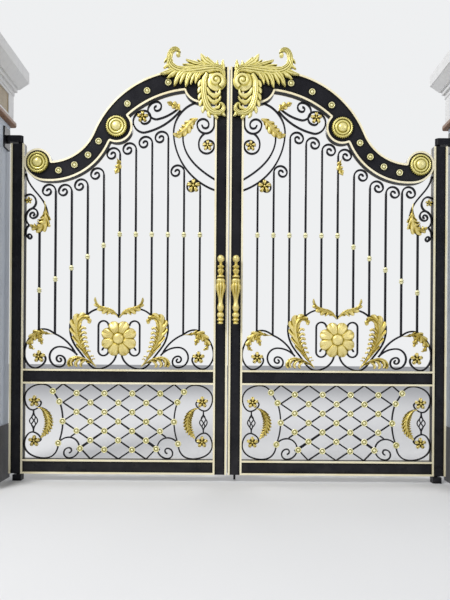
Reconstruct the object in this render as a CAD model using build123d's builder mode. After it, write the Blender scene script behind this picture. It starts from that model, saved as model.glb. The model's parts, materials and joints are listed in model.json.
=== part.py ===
from build123d import *
import math
import os

# Driveway gate of two leaves hung between two masonry pillars.
# Millimetres. X runs along the opening from its middle, +Y points into the drive, Z is up from the ground.
# The street side is -Y, and both leaves swing inward to +Y.
# Every leaf piece is drawn for the right leaf, around the leaf's middle plane, and mirrored for the left one.
# The leaves hang behind the middle of the pillars, so all pieces are moved back as they are written.

# Leaf frame
leaf_gap = 10.0
leaf_edge = 1530.0
ground_clearance = 50.0
frame_width = 96.0
frame_depth = 50.0
bottom_rail_height = 101.0
lower_panel_height = 529.0
middle_rail_height = 104.0
hinge_stile_top = 2360.0
meeting_stile_top = 2908.0
trim_width = 13.0
trim_height = 6.0

# Bars and scrolls
bar_size = 14.0
bar_count = 11
end_bar_gap = 101.5
scroll_size = 12.0
lattice_size = 10.0
lattice_half_width = 98.0
collar_width = 32.0
collar_height = 36.0
collar_level = 1734.0
collar_step = 79.6
level_collars = 6

# Basket twists
basket_height = 96.0
basket_width = 54.0
basket_wire = 6.0
basket_turn = 150.0
basket_inset = 68.0
basket_stem = 30.0
basket_block = 14.0

# Castings
stud_size = 46.0
stud_height = 7.0
stud_boss = 5.0
leaf_thickness = 10.0
rib_width = 5.0
rib_height = 4.0
lobe_bulge = 0.3
tight_bend = 0.86
flower_height = 13.0
big_flower_size = 250.0
outer_petal_height = 15.0
inner_petal_height = 8.0
flower_core_height = 10.0
medallion_size = 150.0
medallion_scallops = 24
medallion_rim_height = 13.0
crest_thickness = 20.0
volute_size = 124.0

# Pull handle
handle_bottom = 1105.0
handle_length = 479.0
handle_standoff = 40.0
handle_post_size = 18.0

# Drop bolt
bolt_size = 16.0
bolt_clearance = 0.5
bolt_standoff = 14.0
bolt_lift = 4.0
bolt_length = 560.0
bolt_knob_level = 530.0
bolt_knob_length = 60.0
guide_levels = (90.0, 400.0)
guide_width = 44.0
guide_height = 30.0
guide_wall = 16.0

# Hinges
hinge_line = 1472.0
pin_size = 24.0
pin_length = 40.0
pin_clearance = 0.3
bracket_level = 2375.0
bracket_arm_size = 44.0
bracket_arm_height = 46.0
bracket_plate_thickness = 12.0
bracket_plate_width = 100.0
bracket_plate_height = 147.0
bracket_plate_drop = 45.0
pivot_size = 60.0
pivot_clearance = 8.0

# Pillars
pillar_clearance = 45.0
pillar_size = 450.0
pillar_back = 80.0
plinth_top = 387.0
plinth_overhang = 10.0
shaft_top = 2518.0
moulding_top = 2560.0
moulding_overhang = 36.0
moulding_rounding = 14.0
frieze_top = 2746.0
frieze_overhang = 17.0
frieze_panel_width = 300.0
frieze_panel_height = 140.0
frieze_panel_depth = 8.0
capital_top = 2952.0
# Each course of the capital above its frieze: top as a share of the height, overhang at its foot and its top
capital_courses = ((0.155, 22, 22), (0.29, 37, 37), (0.61, 50, 98), (1.0, 100, 100), (1.19, 100, -120))

# Sizes worked out from the ones above
panel_inner = leaf_gap / 2 + frame_width
panel_outer = leaf_edge - frame_width
panel_width = panel_outer - panel_inner
panel_middle = (panel_inner + panel_outer) / 2
lower_panel_bottom = ground_clearance + bottom_rail_height
lower_panel_top = lower_panel_bottom + lower_panel_height
upper_panel_bottom = lower_panel_top + middle_rail_height
bar_pitch = (panel_width - 2 * end_bar_gap) / (bar_count - 1)
frame_face = frame_depth / 2
trim_face = frame_face + trim_height
pillar_inner = leaf_edge + pillar_clearance
set_back = pillar_size / 2 - pillar_back

# The ornament is drawn on a panel between these two corners and carried to the leaf as sized.
drawn_low_corner = (101.0, 784.0)
drawn_high_corner = (1434.0, 2908.0)
width_share = panel_width / (drawn_high_corner[0] - drawn_low_corner[0])
height_share = (meeting_stile_top - upper_panel_bottom) / (drawn_high_corner[1] - drawn_low_corner[1])

os.makedirs("parts", exist_ok=True)


def spot(x, z):
    """Carry a place on the drawn panel to the leaf as sized."""
    across = panel_inner + (x - drawn_low_corner[0]) * width_share
    up = upper_panel_bottom + (z - drawn_low_corner[1]) * height_share
    return (across, up)


def spots(*places):
    """Carry several places on the drawn panel to the leaf as sized."""
    return [spot(x, z) for x, z in places]


def panel(x0, z0, x1, z1, mode=Mode.ADD):
    """Draw an upright rectangle between two corners."""
    with Locations(((x0 + x1) / 2, (z0 + z1) / 2)):
        Rectangle(x1 - x0, z1 - z0, mode=mode)


def front_plane(distance):
    """Give the upright plane that lies a distance in front of the leaf's middle."""
    return Plane.XZ.offset(distance)


def curl(start, toward, side, radii):
    """Draw a scroll end as half circles of shrinking radius and return its last point.

    The centres lie on the line from start at the angle toward, and side is 1 or -1 for
    the side of that line on which the first half circle bulges.
    """
    x, z = start
    angle = math.radians(toward)
    for radius in radii:
        along_x = math.cos(angle)
        along_z = math.sin(angle)
        bulge = (x + radius * (along_x - side * along_z), z + radius * (along_z + side * along_x))
        end = (x + 2 * radius * along_x, z + 2 * radius * along_z)
        ThreePointArc((x, z), bulge, end)
        x, z = end
        angle += math.pi
    return (x, z)


def forge(drawing, width=scroll_size):
    """Give every stretch of a drawn line the width of a bar."""
    for stretch in drawing.edges():
        trace(stretch, line_width=width)


def turn_casting(place, back, *profile):
    """Turn a round casting that faces forward, from (radius, rise) points of its profile."""
    axis_plane = Plane(origin=(place[0], -back, place[1]), x_dir=(1, 0, 0), z_dir=(0, 0, 1))
    with BuildSketch(axis_plane) as half:
        with BuildLine():
            Polyline(*[(radius, -rise) for radius, rise in profile], close=True)
        make_face()
    revolve(half.sketch, axis=Axis(axis_plane.origin, (0, -1, 0)))


def edge_places(stations, hand):
    """Give the places on one edge of a leaf, hand 1 for the left of its spine and -1 for the right."""
    places = []
    for number, (x, z, reach_left, reach_right) in enumerate(stations):
        before = stations[max(number - 1, 0)]
        after = stations[min(number + 1, len(stations) - 1)]
        run = Vector(after[0] - before[0], after[1] - before[1]).normalized()
        reach = reach_left if hand > 0 else -reach_right
        places.append(Vector(x - run.Y * reach, z + run.X * reach))
    return places


def draw_leaf(stations):
    """Draw a lobed leaf about its spine.

    A station gives a place on the spine and the leaf's reach to the left and the right of it,
    and a lobe with a forward point stands on each edge between two stations. The inside of a
    tight bend, where the edge is much shorter than the spine, stays plain.
    """
    left = edge_places(stations, 1)
    right = edge_places(stations, -1)
    with BuildLine() as outline:
        for places, hand in ((left, 1), (right, -1)):
            for first, last, here, ahead in zip(places, places[1:], stations, stations[1:]):
                chord = last - first
                if chord.length < tight_bend * math.dist(here[:2], ahead[:2]):
                    Line(first, last)
                else:
                    outward = Vector(-chord.Y, chord.X) * hand * lobe_bulge
                    tip = first + chord * 0.92 + outward
                    ThreePointArc(first, first + chord * 0.4 + outward * 0.95, tip)
                    Line(tip, last)
        Line(left[0], right[0])
        Line(left[-1], right[-1])
    make_face(outline.edges())


def draw_rib(stations):
    """Draw the rib along the spine of a leaf."""
    with BuildLine() as spine:
        Spline(*[station[:2] for station in stations[:-1]])
    trace(spine.edges()[0], line_width=rib_width)


def place_leaf(stations):
    """Carry a leaf's stations from the drawn panel to the leaf as sized."""
    return [(*spot(x, z), reach_left, reach_right) for x, z, reach_left, reach_right in stations]


def across_middle(stations):
    """Mirror a leaf about the middle of the panel."""
    return [(2 * panel_middle - x, z, reach_right, reach_left) for x, z, reach_left, reach_right in stations]


def write_piece(piece, name):
    """Move one piece back from the middle of the pillars, label it and write it to its file."""
    with BuildPart() as placed:
        add(piece.part.moved(Location((0, set_back, 0))))
    placed.part.label = name
    export_step(placed.part, f"parts/{name}.step")


def write_pair(piece, name):
    """Write the right leaf's piece and its mirrored twin for the left leaf."""
    write_piece(piece, f"right_{name}")
    with BuildPart() as twin:
        mirror(piece.part, about=Plane.YZ)
    write_piece(twin, f"left_{name}")


# Outline of the arch head, whose band falls in an S from the meeting stile to the hinge stile
arch_start = (panel_inner, spot(0, 2887)[1])
arch_crown = spot(289, 2887)
arch_turn = spot(950, 2452)
arch_low_end = spot(1247, 2238)
end_lobe = spot(1340, 2230)
end_lobe_radius = 97.0
middle_lobe = spot(791, 2486)
middle_lobe_radius = 112.0

with BuildSketch(front_plane(0)) as arch_outline:
    with BuildLine():
        Line(arch_start, arch_crown)
        ThreePointArc(arch_crown, spot(746, 2725), arch_turn)
        ThreePointArc(arch_turn, spot(1100, 2281), arch_low_end)
        Line(arch_low_end, spot(1423, 2178))
        ThreePointArc(spot(1423, 2178), spot(1371, 2125), spot(1294, 2100))
        ThreePointArc(spot(1294, 2100), spot(1053, 2148), spot(841, 2375))
        Line(spot(841, 2375), spot(712, 2561))
        ThreePointArc(spot(712, 2561), spot(540, 2677), spot(317, 2741))
        ThreePointArc(spot(317, 2741), spot(283, 2688), spot(209, 2656))
        Line(spot(209, 2656), (panel_inner, spot(0, 2652)[1]))
        Line((panel_inner, spot(0, 2652)[1]), arch_start)
    make_face()
    with Locations(middle_lobe):
        Circle(middle_lobe_radius)
    with Locations(end_lobe):
        Circle(end_lobe_radius)
    panel(panel_outer, end_lobe[1] - 200, panel_outer + 100, end_lobe[1] + 200, mode=Mode.SUBTRACT)


def cut_frame():
    """Cut a sketch off where the frame and the arch head stand."""
    add(arch_outline.sketch_local, mode=Mode.SUBTRACT)
    panel(panel_inner - frame_width, 0, panel_inner, meeting_stile_top + 200, mode=Mode.SUBTRACT)
    panel(panel_outer, 0, leaf_edge, hinge_stile_top + 200, mode=Mode.SUBTRACT)
    panel(panel_inner, 0, panel_outer, lower_panel_bottom, mode=Mode.SUBTRACT)
    panel(panel_inner, lower_panel_top, panel_outer, upper_panel_bottom, mode=Mode.SUBTRACT)


# Frame members
with BuildPart() as meeting_stile:
    with BuildSketch(front_plane(-frame_face)):
        panel(leaf_gap / 2, ground_clearance, panel_inner, meeting_stile_top)
    extrude(amount=frame_depth)
write_pair(meeting_stile, "meeting_stile")

with BuildPart() as hinge_stile:
    with BuildSketch(front_plane(-frame_face)):
        panel(panel_outer, ground_clearance, leaf_edge, hinge_stile_top)
    extrude(amount=frame_depth)
write_pair(hinge_stile, "hinge_stile")

with BuildPart() as rails:
    with BuildSketch(front_plane(-frame_face)):
        panel(panel_inner, ground_clearance, panel_outer, lower_panel_bottom)
        panel(panel_inner, lower_panel_top, panel_outer, upper_panel_bottom)
    extrude(amount=frame_depth)
write_pair(rails, "rails")

with BuildPart() as arch_head:
    with BuildSketch(front_plane(-frame_face)):
        add(arch_outline.sketch_local)
    extrude(amount=frame_depth)
write_pair(arch_head, "arch_head")

# Edge trims: raised strips along both edges of every frame member, on both faces
with BuildSketch(front_plane(0)) as trim_outline:
    for edge in (leaf_gap / 2, panel_inner - trim_width):
        panel(edge, ground_clearance, edge + trim_width, meeting_stile_top)
    for edge in (panel_outer, leaf_edge - trim_width):
        panel(edge, ground_clearance, edge + trim_width, hinge_stile_top)
    for level in (
        ground_clearance,
        lower_panel_bottom - trim_width,
        lower_panel_top,
        upper_panel_bottom - trim_width,
    ):
        panel(panel_inner, level, panel_outer, level + trim_width)

with BuildSketch(front_plane(0)) as arch_trim:
    for border in arch_outline.sketch_local.edges():
        trace(border, line_width=2 * trim_width)
    with Locations(*[corner.center() for corner in arch_outline.sketch_local.vertices()]):
        Circle(trim_width)
    add(arch_outline.sketch_local, mode=Mode.INTERSECT)
    panel(panel_inner, 0, panel_inner + trim_width, meeting_stile_top, mode=Mode.SUBTRACT)

with BuildPart() as trims:
    with BuildSketch(front_plane(frame_face)):
        add(trim_outline.sketch_local)
        add(arch_trim.sketch_local)
    extrude(amount=trim_height)
    mirror(about=Plane.XZ)
write_pair(trims, "trims")


# Upright bars with their curled heads, and the base scrolls that carry them
head_radii = (46.0, 29.0, 15.0)
bar_tops = (2122, 2229, 2466, 2429, 2383, 2348, 2205, 2126, 2087, 2087, 1748)
bar_feet = (1056, 1032, 1096, 1160, 1212, 1146, 1212, 1160, 1096, 1032, 1056)


def bar_place(number):
    """Give the place of a bar across the leaf, counted from the meeting stile."""
    return panel_inner + end_bar_gap + number * bar_pitch


with BuildSketch(front_plane(0)) as base_half:
    with BuildLine() as drawn:
        Spline(
            *spots((312, 1032), (200, 1056), (112, 950), (108, 850), (180, 788), (251, 850), (212, 892)),
        )
    forge(drawn)
    with BuildLine() as drawn:
        ThreePointArc(*spots((312, 1032), (392, 984), (462, 894)))
    forge(drawn)
    with BuildLine() as drawn:
        ThreePointArc(*spots((474, 882), (416, 926), (350, 940)))
        curl(spot(350, 940), -90, -1, (71, 40, 22, 12))
    forge(drawn)
    with BuildLine() as drawn:
        ThreePointArc(*spots((767, 1150), (650, 1211), (528, 1146)))
    forge(drawn)
    with BuildLine() as drawn:
        Spline(*spots((424, 1104), (452, 960), (520, 868), (600, 788), (690, 806), (748, 884)))
    forge(drawn)
    with BuildLine() as drawn:
        Line(spot(622, 1088), spot(622, 915))
        curl(spot(622, 1088), 0, 1, (36,))
    forge(drawn)
    with BuildLine() as drawn:
        curl(spot(622, 915), 0, -1, (36, 22))
    forge(drawn)

with BuildPart() as bars:
    with BuildSketch(front_plane(-bar_size / 2)) as bars_outline:
        add(base_half.sketch_local)
        mirror(base_half.sketch_local, about=Plane.YZ.offset(panel_middle))
        for number in range(bar_count):
            across = bar_place(number)
            foot = spot(0, bar_feet[number])[1]
            top = spot(0, bar_tops[number])[1]
            if number < bar_count - 1:
                head = top - head_radii[0] - scroll_size / 2
                panel(across - bar_size / 2, foot, across + bar_size / 2, head)
                with BuildLine() as drawn:
                    curl((across, head), 0, 1, head_radii)
                forge(drawn)
            else:
                panel(across - bar_size / 2, foot, across + bar_size / 2, top)
        cut_frame()
    extrude(amount=bar_size)
write_pair(bars, "bars")

# Gold collars: round beads with a groove, level on the inner bars and stepping down towards the hinge
with BuildPart() as collars:
    for number in range(bar_count):
        drop = max(0, number - level_collars + 1) * collar_step
        level = spot(0, collar_level - drop)[1]
        with BuildSketch(Plane.XZ) as bead:
            with Locations((bar_place(number), level)):
                for end in (1, -1):
                    Polygon(
                        (0, 0),
                        (collar_width * 0.38, 0),
                        (collar_width * 0.5, end * collar_height * 0.2),
                        (collar_width * 0.32, end * collar_height * 0.5),
                        (0, end * collar_height * 0.5),
                        align=None,
                    )
        revolve(bead.sketch, axis=Axis((bar_place(number), 0, level), (0, 0, 1)))
        with Locations((bar_place(number), 0, level)):
            Box(bar_size, bar_size, 2 * collar_height, mode=Mode.SUBTRACT)
write_pair(collars, "collars")

# Heart scroll, outer pair of scrolls and the scrolls beside the hinge stile
with BuildPart() as scrolls:
    with BuildSketch(front_plane(-bar_size / 2)):
        with BuildLine() as drawn:
            ThreePointArc(*spots((95, 2048), (300, 2194), (391, 2430)))
            ThreePointArc(*spots((391, 2430), (378, 2530), (330, 2606)))
        forge(drawn)
        with BuildLine() as drawn:
            ThreePointArc(*spots((330, 2606), (262, 2655), (180, 2672)))
        forge(drawn)
        with BuildLine() as drawn:
            Spline(*spots((95, 2122), (220, 2211), (302, 2316), (326, 2428)))
        forge(drawn)
        with BuildLine() as drawn:
            Line(spot(107, 2600), spot(107, 2510))
            curl(spot(107, 2510), 0, -1, (60, 41, 24))
        forge(drawn)
        with BuildLine() as drawn:
            ThreePointArc(*spots((172, 2450), (205, 2414), (214, 2362)))
            curl(spot(214, 2362), 180, 1, (54, 38))
        forge(drawn)
        with BuildLine() as drawn:
            ThreePointArc(*spots((345, 2612), (470, 2502), (600, 2452)))
            curl(spot(600, 2452), 90, -1, (77, 46, 25))
        forge(drawn)
        with BuildLine() as drawn:
            ThreePointArc(*spots((360, 2625), (440, 2570), (512, 2546)))
            curl(spot(512, 2546), 90, -1, (62, 32, 17))
        forge(drawn)
        with BuildLine() as drawn:
            Spline(*spots((1428, 2158), (1386, 2062), (1296, 1944), (1276, 1850), (1332, 1748)))
        forge(drawn)
        with BuildLine() as drawn:
            ThreePointArc(*spots((1404, 1795), (1429, 1850), (1398, 1908)))
        forge(drawn)
        with BuildLine() as drawn:
            ThreePointArc(*spots((1398, 1908), (1358, 1962), (1400, 2012)))
            ThreePointArc(*spots((1400, 2012), (1422, 2006), (1440, 1992)))
        forge(drawn)
        with BuildLine() as drawn:
            Line(spot(1408, 1968), spot(1440, 1968))
        forge(drawn)
        with BuildLine() as drawn:
            curl(spot(1380, 1912), -90, -1, (34, 20, 11))
        forge(drawn)
        with BuildLine() as drawn:
            ThreePointArc(*spots((1404, 1795), (1429, 1745), (1404, 1699)))
            curl(spot(1404, 1699), 90, 1, (16, 9))
        forge(drawn)
        cut_frame()
        add(bars_outline.sketch_local, mode=Mode.SUBTRACT)
    extrude(amount=bar_size)
write_pair(scrolls, "scrolls")

# Lattice of crossing bars between bowed end bars, with C scrolls, corner spirals and basket twists
lattice_half_height = lower_panel_height / 8
lattice_middle = (lower_panel_bottom + lower_panel_top) / 2


def wire_place(across, start, share):
    """Give a place on a basket twist's wire, which bows out as it winds down round an upright axis."""
    angle = math.radians(start + basket_turn * share)
    reach = lattice_size * 0.3 + (basket_width - basket_wire) / 2 * math.sin(math.pi * share)
    height = lattice_middle + basket_height * (0.5 - share)
    return (across + reach * math.cos(angle), reach * math.sin(angle), height)


def crossing(column, row):
    """Give a crossing of the lattice, counted from the middle of the lower panel."""
    return (panel_middle + column * lattice_half_width, lattice_middle + row * lattice_half_height)


def beside(inset, rise):
    """Give a place beside the lattice by its distance from the stile and from the panel's middle height."""
    return (panel_inner + inset, lattice_middle + rise)


bowed_bar = (beside(205, 211), beside(251, 138.5), crossing(-4, 0), beside(245, -153.5))
spiral_stud = beside(399, -191)
c_scroll_tip = (121, 129)

with BuildSketch(front_plane(0)) as lattice_half:
    for first, last in (
        ((-4, 4), (3, -3)),
        ((-4, 2), (2, -4)),
        ((-4, 0), (0, -4)),
        ((-4, 4), (-4.64, 3.18)),
        ((-4, 2), (-2, 4)),
        ((-4, 0), (0, 4)),
        ((-3.42, -1.64), (2, 4)),
        ((-2.72, -2.88), (0, 0)),
        ((-2.72, -2.88), (-2, -4)),
    ):
        with BuildLine() as drawn:
            Line(crossing(*first), crossing(*last))
        forge(drawn, lattice_size)
    with BuildLine() as drawn:
        Line(bowed_bar[0], bowed_bar[1])
        ThreePointArc(bowed_bar[1], bowed_bar[2], bowed_bar[3])
    forge(drawn, lattice_size)
    for turned in (1, -1):
        start = bowed_bar[0] if turned > 0 else bowed_bar[3]
        with BuildLine() as drawn:
            Spline(
                start,
                beside(120, 259.5 * turned),
                beside(5, 172 * turned),
                beside(64, 78 * turned),
                beside(c_scroll_tip[0], c_scroll_tip[1] * turned),
                beside(88, 150 * turned),
            )
        forge(drawn, lattice_size)
    for end in (1, -1):
        with BuildLine() as drawn:
            stem_foot = end * basket_height / 2
            Line(beside(basket_inset, stem_foot), beside(basket_inset, stem_foot + end * basket_stem))
        forge(drawn, lattice_size)
    with BuildLine() as drawn:
        ThreePointArc(bowed_bar[3], beside(277, -124), beside(319, -113))
        curl(beside(319, -113), -90, 1, (73, 36, 18))
    forge(drawn, lattice_size)

with BuildPart() as lattice:
    with BuildSketch(front_plane(-lattice_size / 2)):
        add(lattice_half.sketch_local)
        mirror(lattice_half.sketch_local, about=Plane.YZ.offset(panel_middle))
        cut_frame()
    extrude(amount=lattice_size)
    for across in (panel_inner + basket_inset, panel_outer - basket_inset):
        for number in range(4):
            with BuildLine() as bowed_wire:
                Spline(*[wire_place(across, number * 90, step / 6) for step in range(7)])
            with BuildSketch(Plane(bowed_wire.line @ 0, z_dir=bowed_wire.line % 0)):
                Rectangle(basket_wire, basket_wire)
            sweep()
        for end in (1, -1):
            with Locations((across, 0, lattice_middle + end * basket_height / 2)):
                Box(basket_block, basket_block, lattice_size)
write_pair(lattice, "lattice")

# Ring studs on the crossings and along the arch head
lattice_studs = []
for row in range(-2, 4):
    for column in range(-3, 4):
        if (column + row) % 2 == 0:
            lattice_studs.append(crossing(column, row))
for column in (-1, 1):
    lattice_studs.append(crossing(column, -3))
for place in (*bowed_bar, spiral_stud):
    lattice_studs.append(place)
    lattice_studs.append((2 * panel_middle - place[0], place[1]))
arch_studs = spots((430, 2795), (578, 2736), (715, 2644), (915, 2380), (988, 2283), (1083, 2214), (1194, 2174))

with BuildPart() as studs:
    for places, carrier in ((lattice_studs, lattice_size / 2), (arch_studs, frame_face)):
        with BuildSketch(front_plane(carrier)):
            with Locations(*places):
                RegularPolygon(stud_size / 2, 8)
        extrude(amount=stud_height, taper=25)
        with BuildSketch(front_plane(carrier + stud_height)):
            with Locations(*places):
                RegularPolygon(stud_size / 4, 8)
        extrude(amount=stud_boss, taper=35)
write_pair(studs, "studs")

# Round medallions on the lobes: scalloped rim, groove, ring and dome
medallion_radius = medallion_size / 2
with BuildPart() as medallions:
    for middle in (middle_lobe, end_lobe):
        with BuildSketch(front_plane(frame_face)):
            with Locations(middle):
                Circle(medallion_radius)
                with PolarLocations(medallion_radius + 1, medallion_scallops):
                    Circle(medallion_radius * 0.06, mode=Mode.SUBTRACT)
        extrude(amount=medallion_rim_height)
        turn_casting(
            middle,
            frame_face,
            (0, 0),
            (medallion_radius - 6, 0),
            (medallion_radius - 6, 15),
            (medallion_radius - 12, 18),
            (medallion_radius - 22, 10),
            (medallion_radius - 28, 10),
            (medallion_radius - 34, 19),
            (medallion_radius - 40, 19),
            (medallion_radius - 45, 15),
            (medallion_radius - 50, 22),
            (medallion_radius - 60, 27),
            (0, 29),
        )
write_pair(medallions, "medallions")

# Flowers seated on the ends of the scrolls
small_flowers = (
    (spot(250, 2077), 92, bar_size),
    (spot(611, 2560), 80, bar_size),
    (spot(152, 2361), 72, bar_size),
    (spot(1408, 1968), 50, bar_size),
    (spot(206, 870), 86, bar_size),
    (spot(1328, 870), 86, bar_size),
    (beside(76, 140), 80, lattice_size),
    (beside(76, -140), 80, lattice_size),
)
big_flower_place = spot(767, 1000)


def petals(place, count, size, petal_length, petal_width):
    """Draw a ring of oval petals whose tips lie on a circle of the flower's size."""
    with Locations(place):
        with PolarLocations(size / 2 - petal_length / 2, count, start_angle=90):
            Ellipse(petal_length / 2, petal_width / 2)


with BuildPart() as flowers:
    for place, size, carrier in small_flowers:
        places = [place]
        if carrier == lattice_size:
            places.append((2 * panel_middle - place[0], place[1]))
        for middle in places:
            with BuildSketch(front_plane(carrier / 2)):
                petals(middle, 5, size, size * 0.42, size * 0.34)
                with Locations(middle):
                    Circle(size * 0.17)
            extrude(amount=flower_height)
            with BuildSketch(front_plane(carrier / 2 + flower_height)):
                with Locations(middle):
                    Circle(size * 0.14)
            extrude(amount=flower_height * 0.6, taper=30)

    for back, thickness, size, petal_length, petal_width in (
        (0, outer_petal_height, big_flower_size, big_flower_size * 0.4, big_flower_size * 0.29),
        (
            outer_petal_height,
            inner_petal_height,
            big_flower_size * 0.92,
            big_flower_size * 0.32,
            big_flower_size * 0.19,
        ),
    ):
        with BuildSketch(front_plane(bar_size / 2 + back)):
            petals(big_flower_place, 8, size, petal_length, petal_width)
            with Locations(big_flower_place):
                Circle(big_flower_size * 0.17)
        extrude(amount=thickness)
    with BuildSketch(front_plane(bar_size / 2 + outer_petal_height + inner_petal_height)):
        with Locations(big_flower_place):
            Circle(big_flower_size * 0.16)
    extrude(amount=flower_core_height, taper=30)
write_pair(flowers, "flowers")

# Cast leaves of the base, the wings over the big flower, the heart, the sides and the lattice
tall_leaf = place_leaf((
    (610, 803, 3, 3), (572, 850, 10, 8), (532, 912, 20, 18), (502, 972, 30, 30), (488, 1032, 38, 36),
    (484, 1086, 40, 34), (500, 1128, 28, 20), (530, 1146, 14, 12), (556, 1132, 8, 8), (562, 1112, 4, 4),
))
low_leaf = place_leaf((
    (612, 801, 3, 3), (565, 834, 9, 8), (518, 855, 14, 12), (470, 864, 16, 18), (432, 850, 14, 20),
    (414, 822, 10, 14), (424, 800, 5, 6),
))
wing_leaf = place_leaf((
    (764, 1148, 3, 3), (738, 1182, 14, 14), (702, 1202, 28, 14), (664, 1212, 26, 13), (630, 1224, 14, 11),
    (608, 1248, 9, 9), (600, 1288, 3, 3),
))
corner_leaf = place_leaf((
    (312, 1028, 3, 3), (272, 1031, 8, 10), (232, 1044, 20, 16), (190, 1040, 26, 26), (158, 1004, 24, 24),
    (140, 960, 12, 14), (154, 926, 7, 8), (176, 922, 3, 3),
))
corner_lobe = place_leaf(((196, 1044, 14, 14), (210, 1004, 20, 20), (224, 974, 12, 12), (230, 952, 3, 3)))
heart_leaf = place_leaf((
    (222, 2548, 8, 6), (252, 2538, 18, 18), (280, 2508, 26, 26), (304, 2476, 28, 24), (334, 2450, 22, 20),
    (366, 2434, 14, 16), (394, 2440, 4, 4),
))
side_leaf = place_leaf((
    (1294, 1962, 3, 3), (1288, 1916, 14, 14), (1286, 1874, 26, 26), (1290, 1832, 38, 38), (1308, 1796, 30, 32),
    (1340, 1776, 20, 22), (1374, 1782, 12, 14), (1392, 1796, 4, 4),
))
merge_leaf = place_leaf(((344, 2604, 5, 5), (368, 2630, 22, 18), (402, 2646, 16, 12), (438, 2662, 3, 3)))
hanging_leaf = place_leaf(((790, 2270, 3, 3), (774, 2236, 13, 10), (778, 2200, 18, 12), (800, 2158, 3, 3)))
lattice_leaf = [
    (panel_inner + inset, lattice_middle + rise, reach_left, reach_right)
    for inset, rise, reach_left, reach_right in (
        (106, 92, 5, 5), (140, 84, 14, 14), (168, 56, 20, 18), (184, 14, 26, 22), (180, -32, 26, 22),
        (158, -76, 16, 14), (126, -116, 4, 4),
    )
]
base_leaves = (tall_leaf, low_leaf, wing_leaf, corner_leaf, corner_lobe)
paired_leaves = (*base_leaves, *[across_middle(stations) for stations in base_leaves])
lattice_leaves = (lattice_leaf, across_middle(lattice_leaf))
single_leaves = (heart_leaf, side_leaf, merge_leaf, hanging_leaf)

with BuildPart() as leaves:
    for group, back in (((*paired_leaves, *single_leaves), bar_size / 2), (lattice_leaves, lattice_size / 2)):
        with BuildSketch(front_plane(back)):
            for stations in group:
                draw_leaf(stations)
        extrude(amount=leaf_thickness)
        with BuildSketch(front_plane(back + leaf_thickness)):
            for stations in group:
                draw_rib(stations)
        extrude(amount=rib_height)
write_pair(leaves, "leaves")

# Crest of a long leaf with a curled tip, a volute and a hanging C leaf
long_leaf = place_leaf((
    (50, 2776, 8, 8), (40, 2830, 8, 14), (56, 2878, 18, 22), (100, 2900, 26, 36), (160, 2898, 28, 44),
    (230, 2884, 26, 46), (300, 2874, 24, 44), (362, 2878, 20, 38), (408, 2906, 22, 32), (424, 2954, 24, 22),
    (414, 3002, 20, 16), (384, 3024, 14, 14), (356, 3018, 14, 10), (346, 2998, 6, 6),
))
crest_lobes = [
    place_leaf(stations)
    for stations in (
        ((110, 2900, 24, 24), (150, 2932, 28, 26), (180, 2966, 18, 18), (202, 3002, 3, 3)),
        ((206, 2896, 20, 16), (244, 2914, 20, 14), (276, 2930, 12, 10), (304, 2946, 3, 3)),
        ((60, 2880, 18, 18), (56, 2914, 18, 16), (50, 2938, 10, 10), (44, 2958, 3, 3)),
        ((322, 2872, 22, 22), (350, 2838, 20, 20), (370, 2806, 13, 13), (386, 2770, 3, 3)),
        ((262, 2868, 22, 20), (286, 2826, 20, 18), (300, 2792, 12, 12), (308, 2760, 3, 3)),
        ((204, 2866, 20, 18), (222, 2834, 16, 14), (232, 2808, 10, 10), (240, 2786, 3, 3)),
        ((400, 2900, 20, 20), (436, 2874, 16, 16), (460, 2860, 9, 9), (482, 2850, 3, 3)),
    )
]
hanging_c = place_leaf((
    (160, 2850, 14, 14), (182, 2806, 18, 22), (184, 2756, 24, 24), (178, 2706, 26, 26), (170, 2656, 26, 28),
    (150, 2608, 26, 28), (114, 2580, 22, 24), (74, 2574, 18, 20), (44, 2592, 14, 18), (38, 2624, 12, 14),
    (56, 2646, 10, 8), (72, 2640, 5, 5),
))
inner_curls = [
    place_leaf(stations)
    for stations in (
        ((160, 2748, 12, 12), (138, 2712, 16, 12), (104, 2700, 14, 10), (76, 2712, 10, 8), (66, 2736, 4, 4)),
        ((154, 2692, 12, 12), (130, 2664, 14, 10), (100, 2656, 12, 9), (76, 2668, 8, 7), (62, 2690, 3, 3)),
        ((126, 2600, 12, 12), (98, 2606, 10, 9), (74, 2622, 8, 7), (66, 2640, 4, 4)),
    )
]
volute_place = spot(92, 2804)

with BuildPart() as crest:
    with BuildSketch(front_plane(trim_face)):
        for stations in (long_leaf, hanging_c, *crest_lobes, *inner_curls):
            draw_leaf(stations)
        with Locations(volute_place):
            Circle(volute_size / 2)
    extrude(amount=crest_thickness)
    with BuildSketch(front_plane(trim_face + crest_thickness)):
        for stations in (long_leaf, hanging_c, *crest_lobes, *inner_curls):
            draw_rib(stations)
    extrude(amount=rib_height)
    turn_casting(
        volute_place,
        trim_face + crest_thickness,
        (0, 0),
        (volute_size * 0.48, 0),
        (volute_size * 0.42, 8),
        (volute_size * 0.36, 8),
        (volute_size * 0.31, 2),
        (volute_size * 0.27, 2),
        (volute_size * 0.2, 14),
        (volute_size * 0.1, 19),
        (0, 20),
    )
write_pair(crest, "crest")

# Pull handle: a cast baluster on two posts in front of the meeting stile
handle_line = (leaf_gap + frame_width) / 2
handle_reach = frame_face + handle_standoff


def rise(share):
    """Give a height on the handle as a share of its length."""
    return handle_bottom + handle_length * share


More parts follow.
